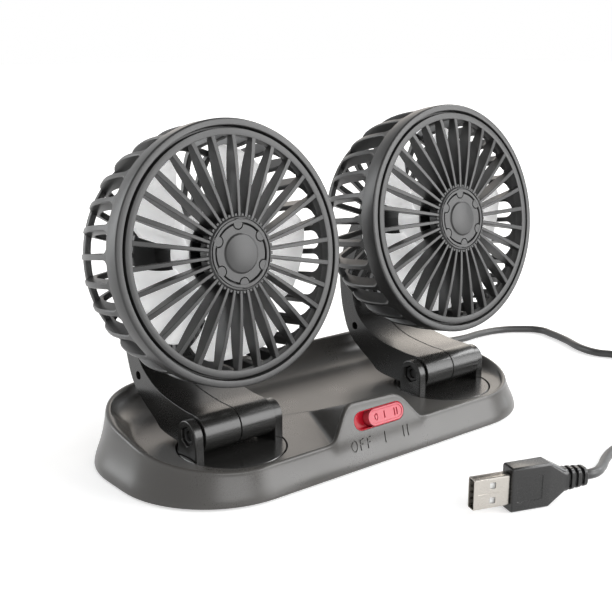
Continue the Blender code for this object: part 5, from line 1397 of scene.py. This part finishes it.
def make_impeller(side):
    """Five wide milky blades on a sleeve, the black rotor hub and the motor behind it."""
    body, place = f"{side}_impeller", at_head(side)
    sheet = grid(20, 14, blade_place)
    bmesh.ops.recalc_face_normals(sheet, faces=sheet.faces)
    bmesh.ops.solidify(sheet, geom=sheet.faces[:], thickness=BLADE_THICKNESS)
    bmesh.ops.recalc_face_normals(sheet, faces=sheet.faces)
    blades = ring_of(sheet, bpy.context.scene.fan_head.blade_count, 0.0)
    make_piece(f"{side}_blades", moved(blades, place), finish_named("blade"), body, [f"{side}_impeller"],
               radians(40))
    sleeve = filleted([(0.0151, 0.0053), (0.0162, 0.0053), (0.0162, 0.0184), (0.0151, 0.0184)], 0.0003, 3)
    make_piece(f"{side}_sleeve", moved(spun(sleeve, 96), place), finish_named("blade"), body)
    hub = [(0.0, 0.0045), (0.0158, 0.0045), (0.0161, 0.0048), (0.0161, 0.0051), (0.0147, 0.0051),
           (0.0147, 0.0150), (0.0145, 0.0152), (0.0013, 0.0152), (0.0013, 0.0060), (0.0, 0.0060)]
    make_piece(f"{side}_rotor", moved(spun(hub, 96, closed=False), place), finish_named("black"), body,
               [f"{side}_rotor_hub"], radians(25))
    dressed([f"{side}_motor"], finish_named("under"))
    dressed([f"{side}_motor_shaft"], finish_named("steel"))


# Operators, panel and the order of making


class FAN_OT_stage(bpy.types.Operator):
    """Add the pale floor, the white studio, its lamps and the camera"""
    bl_idname = "fan.add_stage"
    bl_label = "Add stage and camera"

    def execute(self, context):
        make_stage()
        make_camera()
        return {"FINISHED"}


class FAN_OT_cord(bpy.types.Operator):
    """Add the cord with its sleeve and plug"""
    bl_idname = "fan.add_cord"
    bl_label = "Add cord and plug"

    def execute(self, context):
        make_cord_set()
        return {"FINISHED"}


class FAN_OT_base(bpy.types.Operator):
    """Add the base moulding and finish its underside"""
    bl_idname = "fan.add_base"
    bl_label = "Add base"

    def execute(self, context):
        make_base()
        make_underside()
        return {"FINISHED"}


class FAN_OT_switch(bpy.types.Operator):
    """Add the sliding switch"""
    bl_idname = "fan.add_switch"
    bl_label = "Add switch"

    def execute(self, context):
        make_switch()
        return {"FINISHED"}


class FAN_OT_arms(bpy.types.Operator):
    """Add both turntables and both arms"""
    bl_idname = "fan.add_arms"
    bl_label = "Add turntables and arms"

    def execute(self, context):
        for side in SIDES:
            make_turntable(side)
            make_arm(side)
        return {"FINISHED"}


class FAN_OT_cages(bpy.types.Operator):
    """Add both rear cages"""
    bl_idname = "fan.add_cages"
    bl_label = "Add cages"

    def execute(self, context):
        for side in SIDES:
            make_cage(side)
        return {"FINISHED"}


class FAN_OT_grilles(bpy.types.Operator):
    """Add both front grilles with their caps"""
    bl_idname = "fan.add_grilles"
    bl_label = "Add front grilles"

    def execute(self, context):
        for side in SIDES:
            make_grille(side)
        return {"FINISHED"}


class FAN_OT_impellers(bpy.types.Operator):
    """Add both impellers and finish the motors"""
    bl_idname = "fan.add_impellers"
    bl_label = "Add impellers"

    def execute(self, context):
        for side in SIDES:
            make_impeller(side)
        return {"FINISHED"}


OPERATORS = (FAN_OT_stage, FAN_OT_cord, FAN_OT_base, FAN_OT_switch, FAN_OT_arms, FAN_OT_cages,
             FAN_OT_grilles, FAN_OT_impellers)


class FAN_PT_build(bpy.types.Panel):
    """Sizes, colours and the steps that build the fan"""
    bl_idname = "FAN_PT_build"
    bl_label = "Car fan"
    bl_space_type = "VIEW_3D"
    bl_region_type = "UI"
    bl_category = "Car fan"

    def draw(self, context):
        for group in (context.scene.fan_base, context.scene.fan_head, context.scene.fan_finish):
            box = self.layout.box()
            for name in group.bl_rna.properties.keys():
                if name not in ("rna_type", "name"):
                    box.prop(group, name)
        for operator in OPERATORS:
            self.layout.operator(operator.bl_idname)


SETTINGS = (("fan_base", FanBaseSettings), ("fan_head", FanHeadSettings), ("fan_finish", FanFinishSettings))


def register():
    for name, group in SETTINGS:
        bpy.utils.register_class(group)
        setattr(bpy.types.Scene, name, bpy.props.PointerProperty(type=group))
    for operator in OPERATORS:
        bpy.utils.register_class(operator)
    bpy.utils.register_class(FAN_PT_build)


def unregister():
    bpy.utils.unregister_class(FAN_PT_build)
    for operator in reversed(OPERATORS):
        bpy.utils.unregister_class(operator)
    for name, group in reversed(SETTINGS):
        delattr(bpy.types.Scene, name)
        bpy.utils.unregister_class(group)


def main():
    register()
    bpy.ops.fan.add_stage()
    bpy.ops.fan.add_cord()
    bpy.ops.fan.add_base()
    bpy.ops.fan.add_switch()
    bpy.ops.fan.add_arms()
    bpy.ops.fan.add_cages()
    bpy.ops.fan.add_grilles()
    bpy.ops.fan.add_impellers()


if __name__ == "__main__":
    main()
